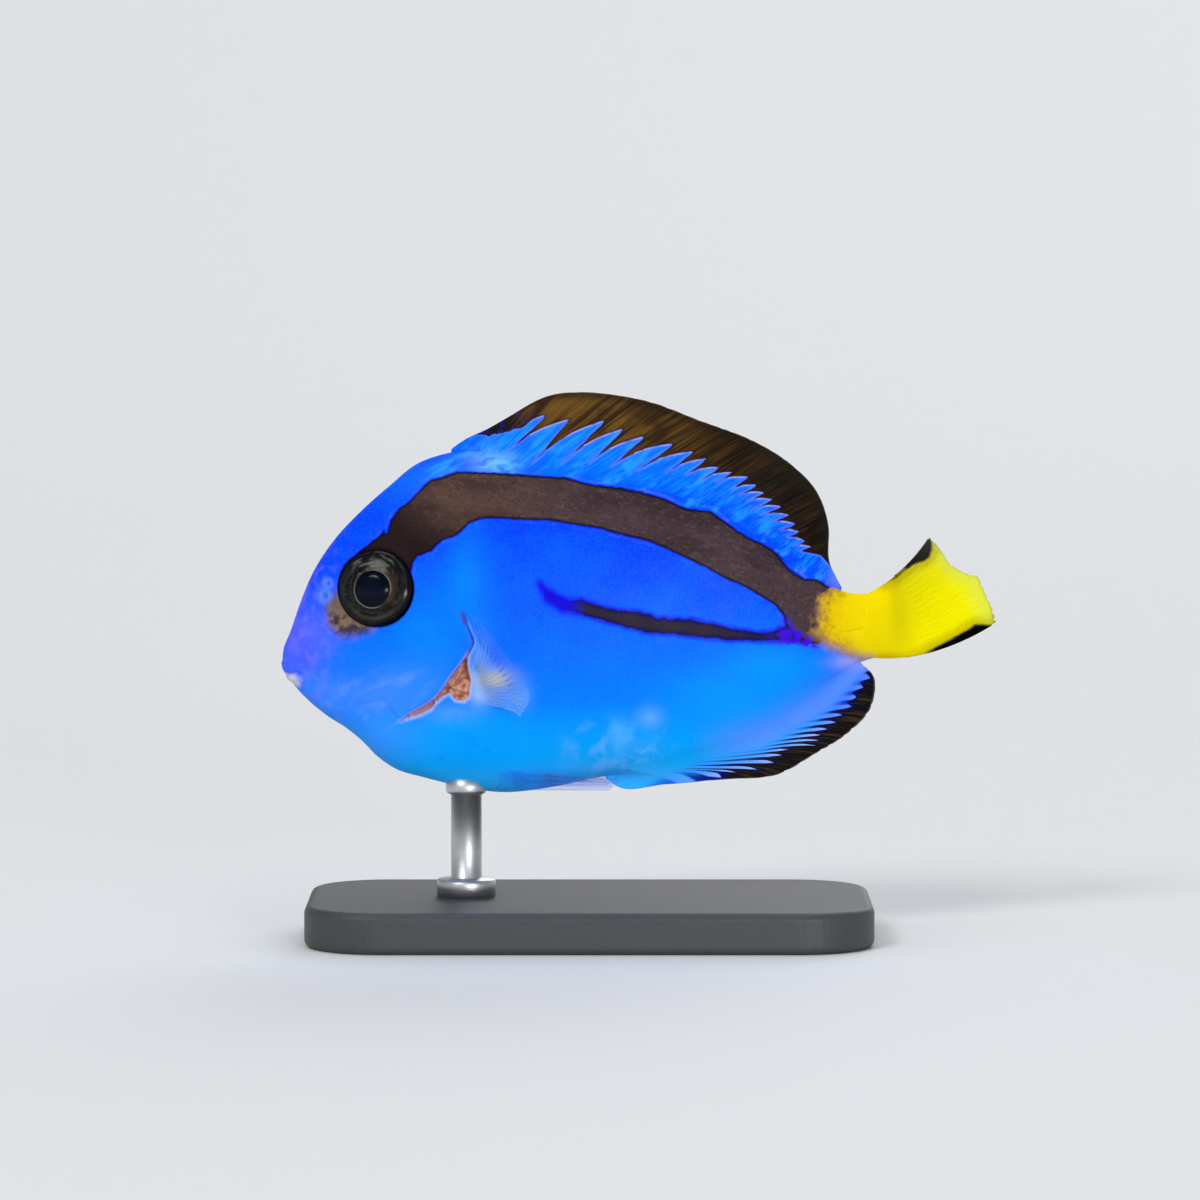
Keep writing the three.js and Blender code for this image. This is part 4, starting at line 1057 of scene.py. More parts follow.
def wave_outline():
    """The blue's outline on the dorsal fin, and the bulging front edge of each of its waves."""
    fronts = []
    outline = list(WAVES_START)
    shares = (0.2, 0.4, 0.6, 0.8)
    for (tip, foot), (after, _) in zip(DORSAL_WAVES, DORSAL_WAVES[1:] + [(WAVES_END[0], None)]):
        start = np.array(outline[-1])
        end = np.array(tip)
        bulge = WAVE_BULGE * np.array([start[1] - end[1], end[0] - start[0]])
        front = [tuple(start + (end - start) * t + bulge * math.sin(math.pi * t)) for t in shares]
        fronts.append([*front[1:], tip])
        point = (start + foot) / 2 - end
        point *= WAVE_TIP / np.linalg.norm(point)
        aside = np.array([point[1], -point[0]]) * WAVE_TIP_WIDE
        deeper = np.subtract(foot, (end + after) / 2)
        deeper *= SLIT_END / np.linalg.norm(deeper)
        outline += [*front, tuple(end + point + aside), tip]
        outline += [tuple(end + point - aside), tuple(foot + deeper)]
    return outline + WAVES_END + UNDER_WAVES, fronts


def dorsal_marks(surface):
    """The marks that the dorsal fin's paint reads, as a function of places across and along it."""
    outline, fronts = wave_outline()

    def mark(across, along):
        spots = surface(across, along)
        u, v = shown(*np.moveaxis(spots, -1, 0))
        to_edge = np.linalg.norm(surface(across, np.ones_like(along)) - spots, axis=-1)
        pale = np.min([np.abs(outline_distance(line + line[-2:0:-1], u, v)) for line in fronts], axis=0)
        return {
            "ray": across * (DORSAL["rays"] - 1), "along": along, "rim": to_edge, "along_fish": u,
            "up_fish": v, "blue": outline_distance(outline, u, v), "pale": pale,
            "ground": ground_colour(u, v), "nape_patch": nape_patch(u, v),
            "band": outline_distance(BAND, u, v), "top_strip": over_band(u, v),
            "stripe": np.full_like(u, -9), "from_eye": np.full_like(u, 9),
        }

    return mark


def drawn_along_rays(paint, across=2.3, along=1.6):
    """Places that a pattern drawn out along the rays reads."""
    return paint.vector(paint.times("ray", across), paint.times("along", along))


def dorsal_brown(paint, streaks):
    """The outer part: streaked brown, near black at the rear and the front corner, with a thin pale rim."""
    front = paint.mix(paint.step(streaks, 0.34, 0.7), (46, 30, 11), (104, 74, 28))
    rear = paint.mix(paint.step(streaks, 0.4, 0.74), (14, 7, 2), (50, 31, 10))
    brown = paint.mix(paint.step("along_fish", 13, 19), front, rear)
    brown = paint.mix(paint.step(paint.noise(0.6, 3), 0.5, 0.66, 0, 0.6), brown, (34, 22, 12))
    brown = paint.mix(paint.step("rim", 0.1, 0.6, 0.6, 0), brown, (24, 17, 9))
    brown = paint.mix(paint.step("rim", 0.0, 0.07, 0.3, 0), brown, (120, 112, 92))
    corner = paint.mix(paint.step(paint.noise(2, 4), 0.46, 0.58), (18, 14, 20), (6, 20, 120))
    return paint.mix(paint.step("along_fish", 8.6, 10.0, 0.95, 0), brown, corner)


def dorsal_blue(paint):
    """The inner part: the body's blue with fine lines along the rays that fade out towards the band."""
    blue = slanting(paint, clouded_ground(paint), 1.0)
    off_band = paint.step("top_strip", 0.1, 0.7)
    light_lines = paint.step(paint.noise(2.6, 3, drawn_along_rays(paint, 2.3, 1.2)), 0.44, 0.62, 0, 0.7)
    blue = paint.mix(paint.times(light_lines, off_band), blue, (12, 142, 255))
    dark_lines = paint.step(paint.noise(3.4, 3, drawn_along_rays(paint, 3.2, 1.0)), 0.3, 0.44, 0.7, 0)
    blue = paint.mix(paint.times(dark_lines, off_band), blue, (0, 52, 222))
    blue = paint.mix(paint.step("rim", 0.1, 0.9, 0.35, 0), blue, (6, 62, 236))
    return pale_nape(paint, blue)


def dorsal_paint():
    paint = Paint("dorsal_fin_skin", roughness=0.45)
    streaks = paint.noise(1.2, 5, drawn_along_rays(paint, 3.2, 1.6))
    ragged = paint.step("along_fish", 8.6, 9.2, 0.4, 0.05)
    edge = paint.plus(paint.math("MULTIPLY_ADD", paint.waver(2.2, 1.0), ragged, "blue"), 0.01)
    blue = paint.mix(paint.step(edge, 0.0, 0.12, 0.6, 0), dorsal_blue(paint), (92, 112, 255))
    brown = paint.mix(paint.step(edge, -0.14, 0.0, 0, 0.7), dorsal_brown(paint, streaks), (30, 15, 14))
    colour = paint.mix(paint.step(edge, -0.02, 0.02), brown, blue)
    lit = paint.times(paint.step("pale", 0.01, 0.045, 0.6, 0), paint.step(paint.noise(2, 2), 0.3, 0.56))
    colour = paint.mix(lit, colour, (172, 168, 240))
    return paint.finish(paint_band(paint, colour), streaks, 0.012)


def finish_piece(piece, slot, *nodes):
    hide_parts(*nodes)
    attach(piece, "root")


dorsal_surface = middle_fin(DORSAL, back_line, outward=1)
dorsal_foot = flowing_foot(dorsal_surface, back_line, outward=1)
dorsal_places = dorsal_marks(dorsal_surface)
dorsal_skin = dorsal_paint()
dorsal_web = web("dorsal_fin_web", DORSAL, dorsal_surface, dorsal_foot, dorsal_places, dorsal_skin)
finish_piece(dorsal_web, "median_fin", "dorsal_fin")
dorsal_rays = rays_on("dorsal_fin_rays", DORSAL, dorsal_surface, dorsal_places, dorsal_skin)
finish_piece(dorsal_rays, "median_fin", "dorsal_fin")


# Anal fin
# The same kind of sheet under the rear half, on three spines and eighteen rays that lean far back.
# Its outer part is black, and one pale blue stripe runs out along each ray over dark blue skin.
ANAL = {
    "rays": 21, "spines": 3, "radii": (0.09, 0.042), "start": 0.2, "fork": 0.42, "spread": 0.17,
    "per_ray": 10, "rows": 44, "ragged": 0.012,
    "from": 12.75, "to": 21.9, "sunk": 0.25, "bow": 0.16, "lead": 0.15, "inside": 0.65,
    "edge": [
        (12.55, -6.1), (13.25, -6.58), (14.94, -6.42), (17.35, -6.22), (19.3, -6.07), (20.78, -5.29),
        (22.1, -4.5), (23, -3.54), (23.1, -2.3), (22.55, -1.8),
    ],
    "tips": [
        (0, 0), (0.05, 0.1), (0.1, 0.25), (0.2, 0.45), (0.355, 0.62), (0.6, 0.76), (0.8, 0.88), (0.9, 0.94),
        (1, 1),
    ],
}
STRIPES_END = [
    (12, -6.8), (15.5, -6.45), (16.75, -6.23), (17.42, -6.06), (18.25, -5.88), (18.83, -5.71),
    (19.22, -5.5), (19.53, -5.31), (19.8, -5.09), (20.35, -4.86), (20.8, -4.63), (21.09, -4.39),
    (21.7, -3.68), (22.16, -3.33), (22.45, -2.84), (22.9, -2.2),
]


def anal_marks(surface):
    """The marks that the anal fin's paint reads, as a function of places across and along it."""
    ends = even_spline(STRIPES_END)(dense)
    starts = np.array(STRIPES_START)
    border = [tuple(spot) for spot in ends[::20]] + [(23, 0), (12, 0)]
    longer = np.random.default_rng(5).uniform(0.7, 1.2, ANAL["rays"])

    def mark(across, along):
        spots = surface(across, along)
        u, v = shown(*np.moveaxis(spots, -1, 0))
        ray = across * (ANAL["rays"] - 1)
        near = 1 - np.abs(ray - np.round(ray)) * 2
        short = 0.5 - 0.6 * near * longer[np.round(ray).astype(int)]
        short *= smooth(u, 15, 18)
        short *= 1 - 0.6 * smooth(u, 20.8, 22)
        to_edge = np.linalg.norm(surface(across, np.ones_like(along)) - spots, axis=-1)
        return {
            "ray": ray, "along": along, "rim": to_edge, "along_fish": u, "up_fish": v,
            "blue": outline_distance(border, u, v) - short, "striped": np.interp(u, *starts.T) - v,
            "ground": ground_colour(u, v), "yellow": outline_distance(YELLOW, u, v),
        }

    return mark


def anal_paint():
    paint = Paint("anal_fin_skin", roughness=0.45)
    drawn = drawn_along_rays(paint)
    black = paint.mix(paint.step(paint.noise(1.6, 4, drawn), 0.46, 0.74), (12, 9, 8), (60, 46, 32))
    black = paint.mix(paint.step("blue", -0.3, 0.0, 0, 0.85), black, (2, 6, 74))
    black = paint.mix(paint.step("along_fish", 16.2, 17.6, 1, 0), black, (0, 34, 150))
    black = paint.mix(paint.step("rim", 0.0, 0.1, 0.5, 0), black, (130, 140, 150))
    off_ray = paint.math("PINGPONG", "ray", 0.5)
    striped = paint.step("striped", -0.1, 0.55)
    near_end = paint.step("blue", 0.1, 0.9, 1, 0)
    pale = paint.mix(near_end, (40, 146, 255), (78, 160, 255))
    lit = paint.times(paint.step("blue", 0.0, 0.35, 0.65, 0), paint.step("along_fish", 15.5, 17.5))
    pale = paint.mix(lit, pale, (180, 190, 255))
    pale = paint.mix(paint.step("along_fish", 20.6, 21.8, 0, 0.8), pale, (74, 112, 255))
    deep = paint.mix(near_end, (0, 84, 248), (0, 12, 96))
    deep = paint.mix(paint.step("along_fish", 14.4, 17.0, 0.9, 0), deep, (0, 92, 244))
    deep = paint.mix(paint.step("along_fish", 20.6, 21.8, 0, 0.7), deep, (14, 54, 232))
    closing = paint.minus(off_ray, paint.step("blue", 0.0, 1.3, 0, 0.26))
    blue = paint.mix(paint.step(closing, 0.14, 0.32), pale, deep)
    share = paint.times(striped, paint.step(paint.noise(2, 3, drawn), 0.2, 0.5, 0.5, 1))
    blue = paint.mix(share, paint_tail_root(paint, clouded_ground(paint)), blue)
    edge = paint.plus("blue", paint.waver(3, 0.06))
    colour = paint.mix(paint.step(edge, -0.04, 0.04), black, blue)
    return paint.finish(colour, paint.noise(5, 3, drawn), 0.01)


anal_surface = middle_fin(ANAL, belly_line, outward=-1)
anal_foot = flowing_foot(anal_surface, belly_line, outward=-1, front=0.09, rear=0.14)
anal_places = anal_marks(anal_surface)
anal_skin = anal_paint()
anal_web = web("anal_fin_web", ANAL, anal_surface, anal_foot, anal_places, anal_skin)
finish_piece(anal_web, "median_fin", "anal_fin")
anal_rays = rays_on("anal_fin_rays", ANAL, anal_surface, anal_places, anal_skin)
finish_piece(anal_rays, "median_fin", "anal_fin")


# Tail fin
# A fan of sixteen rays on the tail root, swept to the far side, yellow with a black bar above and below.
# On the cast it is one web with raised rays, paler and a little ragged at its thin rear edge.
CAUDAL = {
    "rays": 16, "spines": 0, "radii": (0.07, 0.038), "start": 0.05, "fork": 0.42, "spread": 0.2,
    "per_ray": 12, "rows": 56, "ragged": 0.012,
    "root": [(23.4, 1.16, 0), (23.45, -1.56, 0)],
    "foot": [(24.25, 1.66, 0.44), (24.6, -1.67, 0.56)],
    "bow": [(25.02, 2.23, 3.0), (26.36, -1.36, 1.6)],
    "edge": [
        (25.55, 2.78, 5.2), (26.2, 2.2, 4.85), (26.8, 1.75, 4.5), (27.5, 1.25, 4.1), (27.88, 0.35, 3.5),
        (28.08, -0.42, 3),
    ],
    "fold": (0.048, -0.108),
    "reach": [
        (0, 1), (0.1, 0.985), (0.2, 0.95), (0.28, 0.93), (0.38, 0.95), (0.48, 0.97), (0.55, 1), (0.7, 0.985),
        (0.85, 0.99), (1, 1),
    ],
}
CAUDAL_ROOT = 23.42
# The web's foot goes on inside the body by a share of the fin's length, at a pace in millimetres for a whole
# share, and the web has a least thickness at its rear edge.
CAUDAL_LEAD = 0.3
CAUDAL_PACE = 3.2
CAUDAL_TIP = 0.06
UPPER_BAR = [
    (23.3, 1.62), (23.5, 2.2), (24.3, 3.0), (24.86, 3.6), (25.2, 3.5), (25.32, 3.06), (25.3, 2.72),
    (25.2, 2.46), (24.94, 2.27), (24.6, 2.14), (24.24, 1.94), (23.9, 1.66), (23.5, 1.42),
]
LOWER_BAR = [
    (27.66, -0.24), (27.9, 0.04), (28.3, -0.5), (27.6, -1.5), (26.0, -2.0), (23.6, -2.2), (23.3, -1.6),
    (24.3, -1.6), (24.7, -1.46), (25.1, -1.28), (25.53, -1.06), (26.19, -0.68), (27.0, -0.2),
]


def caudal_surface(across, along):
    across, along = np.broadcast_arrays(np.asarray(across, float), np.asarray(along, float))
    flat = across.ravel()
    t = (along.ravel() * (1 + CAUDAL_LEAD) - CAUDAL_LEAD) * np.interp(flat, *np.array(CAUDAL["reach"]).T)
    t = t[:, None]
    root, foot, bow = (spline(CAUDAL[key], flat) for key in ("root", "foot", "bow"))
    end = even_spline(CAUDAL["edge"])(flat)
    fan = (1 - t) ** 3 * root + 3 * t * (1 - t) ** 2 * foot + 3 * t**2 * (1 - t) * bow + t**3 * end
    u, v, away = np.where(t < 0, root + 3 * t * (foot - root), fan).T
    wave = (np.maximum(t, 0) ** 2)[:, 0] * np.sin(3 * math.pi * flat)
    fold_u, fold_away = CAUDAL["fold"]
    places = np.stack([u + wave * fold_u, away + swing(CAUDAL_ROOT) + wave * fold_away, v], -1)
    return places.reshape(across.shape + (3,))


def caudal_marks(across, along):
    u, v = shown(*np.moveaxis(caudal_surface(across, along), -1, 0))
    bars = np.maximum(outline_distance(UPPER_BAR, u, v), outline_distance(LOWER_BAR, u, v))
    return {"ray": across * (CAUDAL["rays"] - 1), "along": along, "bar": bars}


def caudal_paint():
    paint = Paint("tail_fin_skin", roughness=0.5, specular=0.02)
    drawn = drawn_along_rays(paint, 3.1, 1.2)
    streaks = paint.noise(1.5, 4, drawn)
    yellow = paint.mix(paint.step("along", 0.1, 0.75), (230, 206, 0), (234, 226, 0))
    yellow = paint.mix(paint.step(streaks, 0.5, 0.72, 0, 0.25), yellow, (206, 204, 0))
    yellow = paint.mix(paint.step("along", 0.86, 1.0, 0, 0.6), yellow, (198, 214, 84))
    bar = paint.plus("bar", paint.waver(1.6, 0.08))
    yellow = paint.mix(paint.step(bar, -0.5, -0.05, 0, 0.45), yellow, (140, 120, 0))
    black = paint.mix(paint.step(streaks, 0.4, 0.7), (2, 1, 0), (12, 8, 2))
    return paint.finish(paint.mix(paint.step(bar, -0.07, 0.07), yellow, black), streaks, 0.012)


def caudal_thickness(across, along):
    """As thick as the tail root just under its skin, then ever thinner out to the fin's edge."""
    t = along * (1 + CAUDAL_LEAD) - CAUDAL_LEAD
    root = np.interp(CAUDAL_ROOT + CAUDAL_PACE * np.minimum(t, 0), *half_line.T)
    body = root * ridge(np.maximum(t, 0), 0.25)
    body *= 1.96 * tail_turn(CAUDAL_ROOT) * (1 - 0.09 * smooth(-t, 0, 0.35))
    body *= (4 * across * (1 - across)) ** (KEEL / 2)
    return np.hypot(CAUDAL_TIP + WEB_TAPER * (1 - along), body)


tail_skin = caudal_paint()
tail_web = web("tail_fin_web", CAUDAL, caudal_surface, caudal_thickness, caudal_marks, tail_skin)
finish_piece(tail_web, "tail_fin", "caudal_fin")
tail_rays = rays_on("tail_fin_rays", CAUDAL, caudal_surface, caudal_marks, tail_skin)
finish_piece(tail_rays, "tail_fin", "caudal_fin")


# Pectoral fins
# A clear fan on each side behind the gill cover, held out and back. The web is like film, and sixteen fine
# pale rays spread in it from a narrow foot just under the skin. On the model both are of clear resin.
PECTORAL = {
    "rays": 16, "spines": 0, "radii": (0.036, 0.014), "start": 0.02, "fork": 0.5, "spread": 0.17,
    "per_ray": 6, "rows": 30, "ragged": 0.03, "bow": 0.35,
    "root": [(7.5, -2, 2.02), (7.75, -3.05, 1.98)],
    "tips": [(7.45, 0.7, 5.6), (8.55, -0.55, 5.85), (9.3, -1.65, 5.6), (9.7, -2.6, 5), (9.35, -3.4, 4.1)],
}


def pectoral_surface(side):
    def surface(across, along):
        across, along = np.broadcast_arrays(np.asarray(across, float), np.asarray(along, float))
        root = spline(PECTORAL["root"], across.ravel())
        tip = even_spline(PECTORAL["tips"])(across.ravel())
        spot = root + (tip - root) * along.ravel()[:, None]
        u, v, out = spot.T
        bowed = u + PECTORAL["bow"] * np.sin(math.pi * along.ravel())
        return at(bowed, side * out, v).reshape(across.shape + (3,))

    return surface


def clear_marks(plan):
    return lambda across, along: {"ray": across * (plan["rays"] - 1), "along": along}


def clear_paint(name, alpha, pale, foot):
    """A clear film or ray, tinted towards its foot."""
    paint = Paint(name, roughness=0.3, specular=0.3)
    paint.shader.inputs["Alpha"].default_value = alpha
    drawn = drawn_along_rays(paint, 2, 2)
    colour = paint.mix(paint.step(paint.noise(2, 3, drawn), 0.35, 0.65), pale, (206, 232, 248))
    colour = paint.mix(paint.step("along", 0.2, 0.6, 0.8, 0), colour, foot)
    colour = paint.mix(paint.step("ray", 8, 12, 0.85, 0), colour, (20, 110, 250))
    return paint.finish(colour, paint.noise(4, 3, drawn), 0.008)


FILM_TIP = 0.05
FILM_FOOT = 0.24
FILM_FOOT_END = 0.4


def thin_thickness(across, along):
    return FILM_TIP + FILM_FOOT * np.maximum(0, 1 - along / FILM_FOOT_END) ** 2


def add_clear_fins(kind, plan, surface_on, film):
    """The film and the rays of a pair of clear fins, one on each side."""
    for side, word in ((-1, "left"), (1, "right")):
        surface = surface_on(side)
        sheet = web(f"{kind}_film_{word}", plan, surface, thin_thickness, clear_marks(plan), film)
        spokes = rays_on(f"{kind}_rays_{word}", plan, surface, clear_marks(plan), clear_ray)
        finish_piece(sheet, "clear_fin", f"{kind}_fin_{word}")
        finish_piece(spokes, "clear_fin", f"{kind}_fin_{word}")


pectoral_film = clear_paint("pectoral_film", 0.1, (110, 180, 245), (196, 206, 150))
clear_ray = clear_paint("clear_rays", 0.12, (166, 220, 255), (150, 210, 250))
add_clear_fins("pectoral", PECTORAL, pectoral_surface, pectoral_film)


# Pelvic fins
# Two narrow clear fins folded back along the belly, each with one spine and three rays.
# They are made as the pectoral fins are.
PELVIC = {
    "rays": 4, "spines": 1, "radii": (0.06, 0.025), "start": 0.15, "fork": 0.42, "spread": 0.17,
    "per_ray": 12, "rows": 30, "ragged": 0.03, "sunk": 0.8,
    "upper": [(8.2, -5.75, 1.8), (13.2, -6.15, 1.05)], "lower": [(8.45, -6.5, 1.2), (12.85, -6.55, 1)],
}


def pelvic_surface(side):
    def surface(across, along):
        across, along = np.broadcast_arrays(np.asarray(across, float), np.asarray(along, float))
        up_foot, up_tip = np.array(PELVIC["upper"])
        low_foot, low_tip = np.array(PELVIC["lower"])
        upper = up_foot + (up_tip - up_foot) * along[..., None]
        lower = low_foot + (low_tip - low_foot) * along[..., None]
        u, v, out = np.moveaxis(lower + (upper - lower) * across[..., None], -1, 0)
        return at(u, side * (out - PELVIC["sunk"] * np.maximum(0, 1 - along / 0.3)), v)

    return surface


pelvic_film = clear_paint("pelvic_film", 0.15, (110, 160, 214), (10, 140, 250))
add_clear_fins("pelvic", PELVIC, pelvic_surface, pelvic_film)


# Eyes
# A model's eye is a painted dome under clear gloss: a blue-black pupil, a thin pale ring painted brighter on
# two sides as if lit, and a dark grey iris with faint bands and painted pale reflections above and below. It
# sits in a bowl of the skin, and its pupil stands a little proud.
EYE_DOME = 0.4
EYE_BACK = 0.5
EYE_PROUD = 0.02
EYE_SIDES = 72
EYE_REACH = 1.44
PUPIL = {"radius": 0.71, "back": -0.02, "up": -0.07, "proud": 0.09}


def eye_profile():
    """Distance from the eye's axis and height along it, from the back to the middle of the dome."""
    profile = [(0.0, -EYE_BACK), (0.6, -EYE_BACK), (1.1, -EYE_BACK), (1.34, -0.3), (1.43, -0.12)]
    dome = [(EYE["radius"] * math.cos(t), EYE_DOME * math.sin(t)) for t in np.linspace(0, math.pi / 2, 34)]
    rim = -PUPIL["radius"] * 1.05
    top = -PUPIL["radius"] * 0.55
    lifted = [(r, z + PUPIL["proud"] * float(smooth(-r, rim, top))) for r, z in dome]
    return profile + lifted[:-1] + [(0.0, lifted[-1][1])]


def frame_on_side(u, v, reach, side):
    """A place on one side, and the directions out of the skin, back along it and up it."""

    def on_side(u, v):
        return at(u, side * flank(u, v), v)

    back = on_side(u + reach, v) - on_side(u - reach, v)
    up = on_side(u, v + reach) - on_side(u, v - reach)
    out = np.cross(up, back) * side
    out /= np.linalg.norm(out)
    back /= np.linalg.norm(back)
    return on_side(u, v), out, back, np.cross(back, out) * side


def eye_paint():
    paint = Paint("glass_eye", roughness=0.15, specular=0.1)
    away = paint.mark("from_axis")
    turn_back = paint.mark("turn_back")
    turn_up = paint.mark("turn_up")
    drawn = paint.vector(paint.times(away, 2.4), paint.times(turn_back, 0.6), paint.times(turn_up, 0.6))
    bands = paint.noise(3.6, 3, drawn)
    threads = paint.noise(9, 3, paint.vector(paint.times(away, 0.7), turn_back, turn_up))
    iris = paint.mix(paint.step(bands, 0.4, 0.64), (12, 14, 14), (36, 38, 35))
    iris = paint.mix(paint.step(threads, 0.52, 0.76, 0, 0.35), iris, (60, 61, 54))
    # Pale arcs on the upper iris: painted reflection of light on the wet eye.
    upper = paint.times(paint.step(turn_up, 0.35, 0.9), paint.step(bands, 0.5, 0.6, 0, 0.55))
    iris = paint.mix(upper, iris, (96, 98, 86))
    rear = paint.times(paint.step(turn_back, 0.4, 0.9), paint.step(away, 0.76, 1.05, 0.7, 0))
    iris = paint.mix(rear, iris, (66, 46, 34))
    iris = paint.mix(paint.step(away, 1.26, 1.42, 0, 0.95), iris, (6, 8, 18))
    # A pale arc low on the iris: painted reflection.
    low = paint.times(paint.step(turn_up, -0.5, -0.9), paint.step(paint.off(away, 1.2), 0.02, 0.1, 0.5, 0))
    iris = paint.mix(low, iris, (66, 60, 50))
    pupil = paint.mark("from_pupil")
    # The pale ring round the pupil is the eye's own. It is painted brighter on two sides, where light falls
    # on it.
    slant = paint.plus(turn_back, turn_up)
    ring_lit_sides = paint.step(paint.math("ABSOLUTE", slant), 0.2, 1.0, 0.12, 0.85)
    ring = paint.times(ring_lit_sides, paint.step(paint.off(pupil, PUPIL["radius"] + 0.03), 0.01, 0.035, 1, 0))
    iris = paint.mix(ring, iris, (104, 100, 94))
    lens = paint.mix(paint.step(pupil, 0.2, 0.68, 0.4, 0), (1, 4, 18), (6, 14, 40))
    edge = paint.step(pupil, PUPIL["radius"] - 0.02, PUPIL["radius"] + 0.01)
    return paint.finish(paint.mix(edge, lens, iris), bands, 0.002)


def eye_piece(side, word, material):
    profile = eye_profile()
    turns = np.linspace(0, 2 * math.pi, EYE_SIDES, endpoint=False)
    spot, out, back, up = frame_on_side(EYE["u"], EYE["v"], EYE_REACH, side)
    r, z = (np.array(values)[:, None] + 0 * turns for values in zip(*profile))
    cos = 0 * r + np.cos(turns)
    sin = 0 * r + np.sin(turns)
    x = r * cos
    y = r * sin
    inner = smooth(EYE["radius"] - r, 0, 0.7)
    marks = {
        "from_axis": r, "turn_back": cos, "turn_up": sin,
        "from_pupil": np.hypot(x - PUPIL["back"] * inner, y - PUPIL["up"] * inner),
    }
    spots = spot + out * EYE_PROUD + x[..., None] * back + y[..., None] * up + z[..., None] * out
    marks = {key: values.ravel() for key, values in marks.items()}
    faces = lathe_faces(len(profile), EYE_SIDES).tolist()
    piece = add_mesh(f"eye_{word}_glass", spots, faces, material, marks)
    facing_out(piece)
    piece.data.shade_smooth()
    return piece


glass = eye_paint()
for side, word in ((-1, "left"), (1, "right")):
    finish_piece(eye_piece(side, word, glass), "eye", f"eye_{word}")


# Gills
# Inside each opening a row of soft red filaments hangs from a curved bony arch.
# On the model they are fine tapering cords set on an arch against the painted flesh of the opening.
GILL_ARCH = [(7.2, -1.65), (6.95, -2.15), (6.5, -2.6), (6.0, -3.0), (5.45, -3.35)]
ARCH_DEPTH = 0.4
FILAMENT = {"count": 26, "back": 0.34, "down": 0.3, "curl": 0.05, "depth": 0.32, "sinks": 0.12}
GILL_RADII = (0.05, 0.03)


def gill_paint():
    paint = Paint("gill_filaments", roughness=0.35, specular=0.35)
    colour = paint.mix(paint.step(paint.noise(3.5, 3), 0.38, 0.62), (152, 80, 58), (204, 150, 120))
    return paint.finish(paint.mix(paint.step(paint.noise(7, 2), 0.58, 0.7, 0, 0.6), colour, (96, 50, 46)))


def inside_opening(u, v, side, depth):
    """A place behind the skin's plain form."""
    return at(u, side * (flank(u, v) - depth), v)


def gill_piece(side, word, material):
    arch = spline(GILL_ARCH, np.linspace(0, 1, 40))
    lines = [inside_opening(*arch.T, side, ARCH_DEPTH)]
    reach = np.linspace(0, 1, 8)
    for foot_u, foot_v in spline(GILL_ARCH, np.linspace(0.03, 0.97, FILAMENT["count"])):
        tip_u = foot_u + FILAMENT["back"] * reach
        tip_v = foot_v - FILAMENT["down"] * reach + FILAMENT["curl"] * reach**2
        lines.append(inside_opening(tip_u, tip_v, side, FILAMENT["depth"] + FILAMENT["sinks"] * reach**2))
    return grown(f"gill_filaments_{word}", lines, {}, material, GILL_RADII)


filament_flesh = gill_paint()
for side, word in ((-1, "left"), (1, "right")):
    finish_piece(gill_piece(side, word, filament_flesh), "gill", f"gills_{word}")


# Stand
# The photograph shows no stand, so the simplest one carries the fish: a flat base of powder-coated aluminium
# and a brushed steel rod with a collar at its foot. A small ferrule closes the joint under the breast.
BASE = {"wide": 22.0, "deep": 12.0, "high": 1.6, "corner": 3.0, "bevel": 0.3}
ROD = {"u": 7.2, "radius": 0.6, "top": -5.0, "foot": 1.15, "foot_height": 0.7}


def base_outline(inset):
    corner = BASE["corner"] - inset
    spots = []
    for quarter, (sx, sy) in enumerate([(1, 1), (-1, 1), (-1, -1), (1, -1)]):
        x = sx * (BASE["wide"] / 2 - BASE["corner"])
        y = sy * (BASE["deep"] / 2 - BASE["corner"])
        for turn in np.linspace(quarter, quarter + 1, 17) * math.pi / 2:
            spots.append((x + corner * math.cos(turn), y + corner * math.sin(turn)))
    return spots


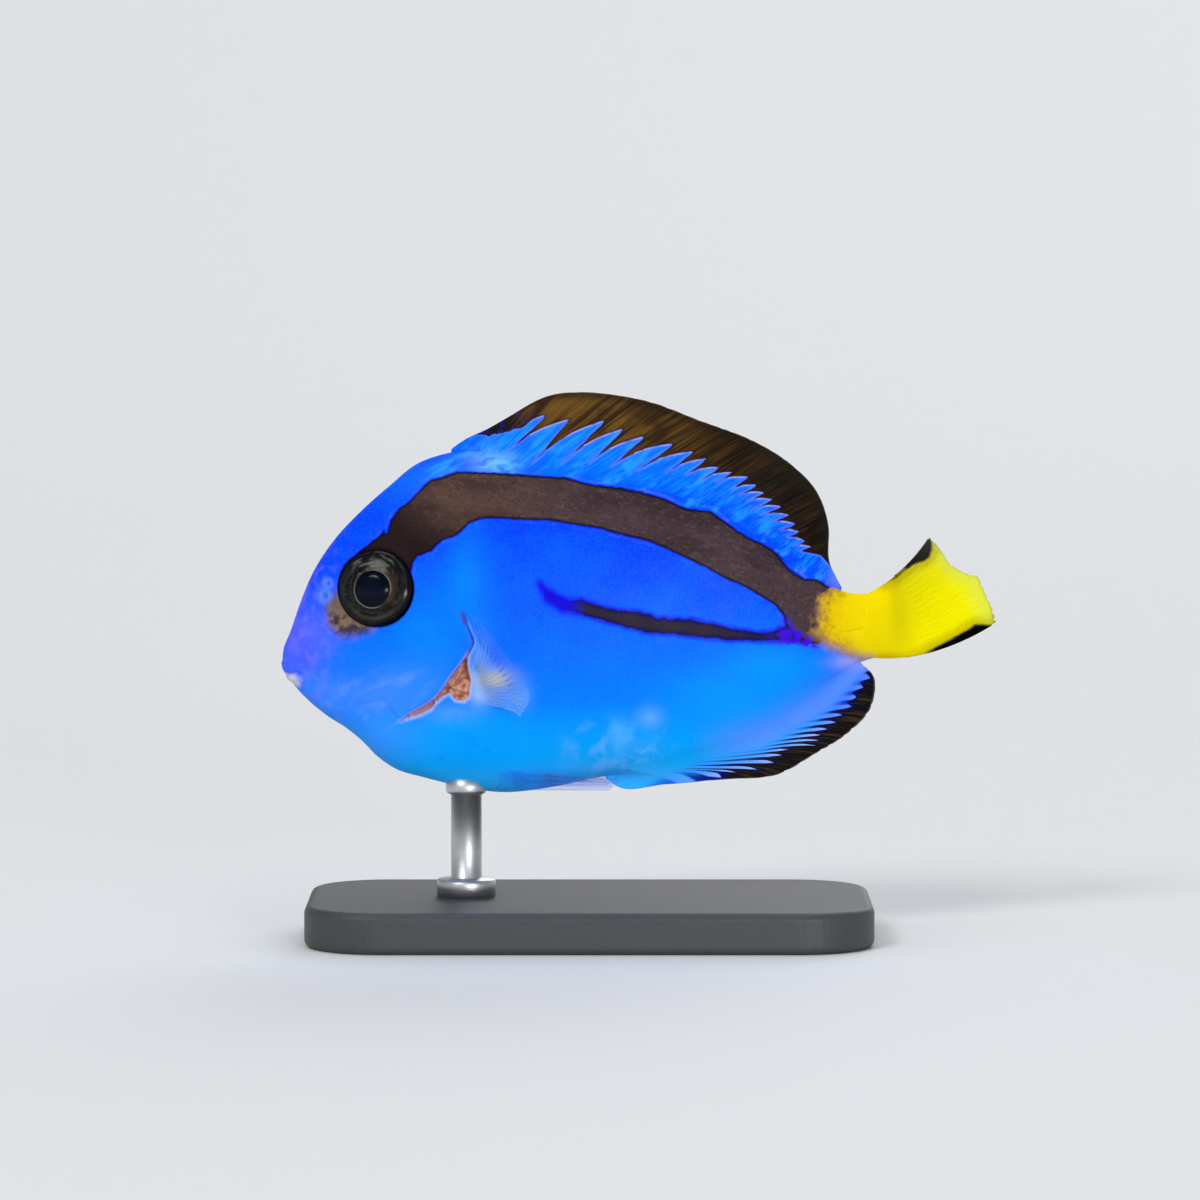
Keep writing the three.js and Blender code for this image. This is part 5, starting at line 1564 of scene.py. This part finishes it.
def base_piece():
    turns = np.linspace(0, math.pi / 2, 7)
    lower = [(BASE["bevel"] * (1 - math.sin(turn)), BASE["bevel"] * (1 - math.cos(turn))) for turn in turns]
    profile = lower + [(inset, BASE["high"] - height) for inset, height in lower[::-1]]
    spots = [(x - SNOUT_X, y, z - AXIS_Z) for inset, z in profile for x, y in base_outline(inset)]
    faces = closed_lathe(len(profile), len(base_outline(0)))
    paint = Paint("powder_coat", roughness=0.5, specular=0.35)
    coat = paint.noise(9, 3)
    material = paint.finish(paint.mix(coat, (52, 54, 57), (66, 68, 71)), coat, 0.01)
    piece = add_mesh("stand_base_plate", spots, faces, material)
    facing_out(piece)
    piece.data.shade_flat()
    return piece


def turned(name, profile, material):
    """A piece turned about the rod's axis from distances and heights above the floor."""
    sides = 64
    angles = np.linspace(0, 2 * math.pi, sides, endpoint=False)
    spots = [(ROD["u"] + r * math.cos(a), r * math.sin(a), z - AXIS_Z) for r, z in profile for a in angles]
    piece = add_mesh(name, spots, closed_lathe(len(profile), sides), material)
    facing_out(piece)
    piece.data.shade_smooth()
    return piece


def rod_piece():
    low = BASE["high"]
    thin = ROD["radius"]
    wide = ROD["foot"]
    edge = 0.12
    collar = low + ROD["foot_height"]
    under = AXIS_Z + float(bottom_at(ROD["u"]))
    profile = [
        (wide, low), (wide, collar - edge), (wide - edge * 0.3, collar - edge * 0.3), (wide - edge, collar),
        (thin + 0.06, collar), (thin, collar + 0.06), (thin, under - 0.28), (thin + 0.06, under - 0.26),
        (thin + 0.16, under - 0.2), (thin + 0.2, under - 0.1), (thin + 0.2, under + 0.35),
        (thin, under + 0.4), (thin, AXIS_Z + ROD["top"]),
    ]
    paint = Paint("brushed_steel", roughness=0.42, specular=0.5)
    paint.shader.inputs["Metallic"].default_value = 1.0
    brushed = paint.noise(4, 4, paint.mapped(paint.places, scale=(0.1, 0.1, 9)))
    steel = paint.mix(brushed, (184, 186, 188), (206, 207, 208))
    return turned("stand_rod_steel", profile, paint.finish(steel, brushed, 0.004))


finish_piece(base_piece(), "stand_base", "stand_base")
finish_piece(rod_piece(), "stand_rod", "stand_rod")
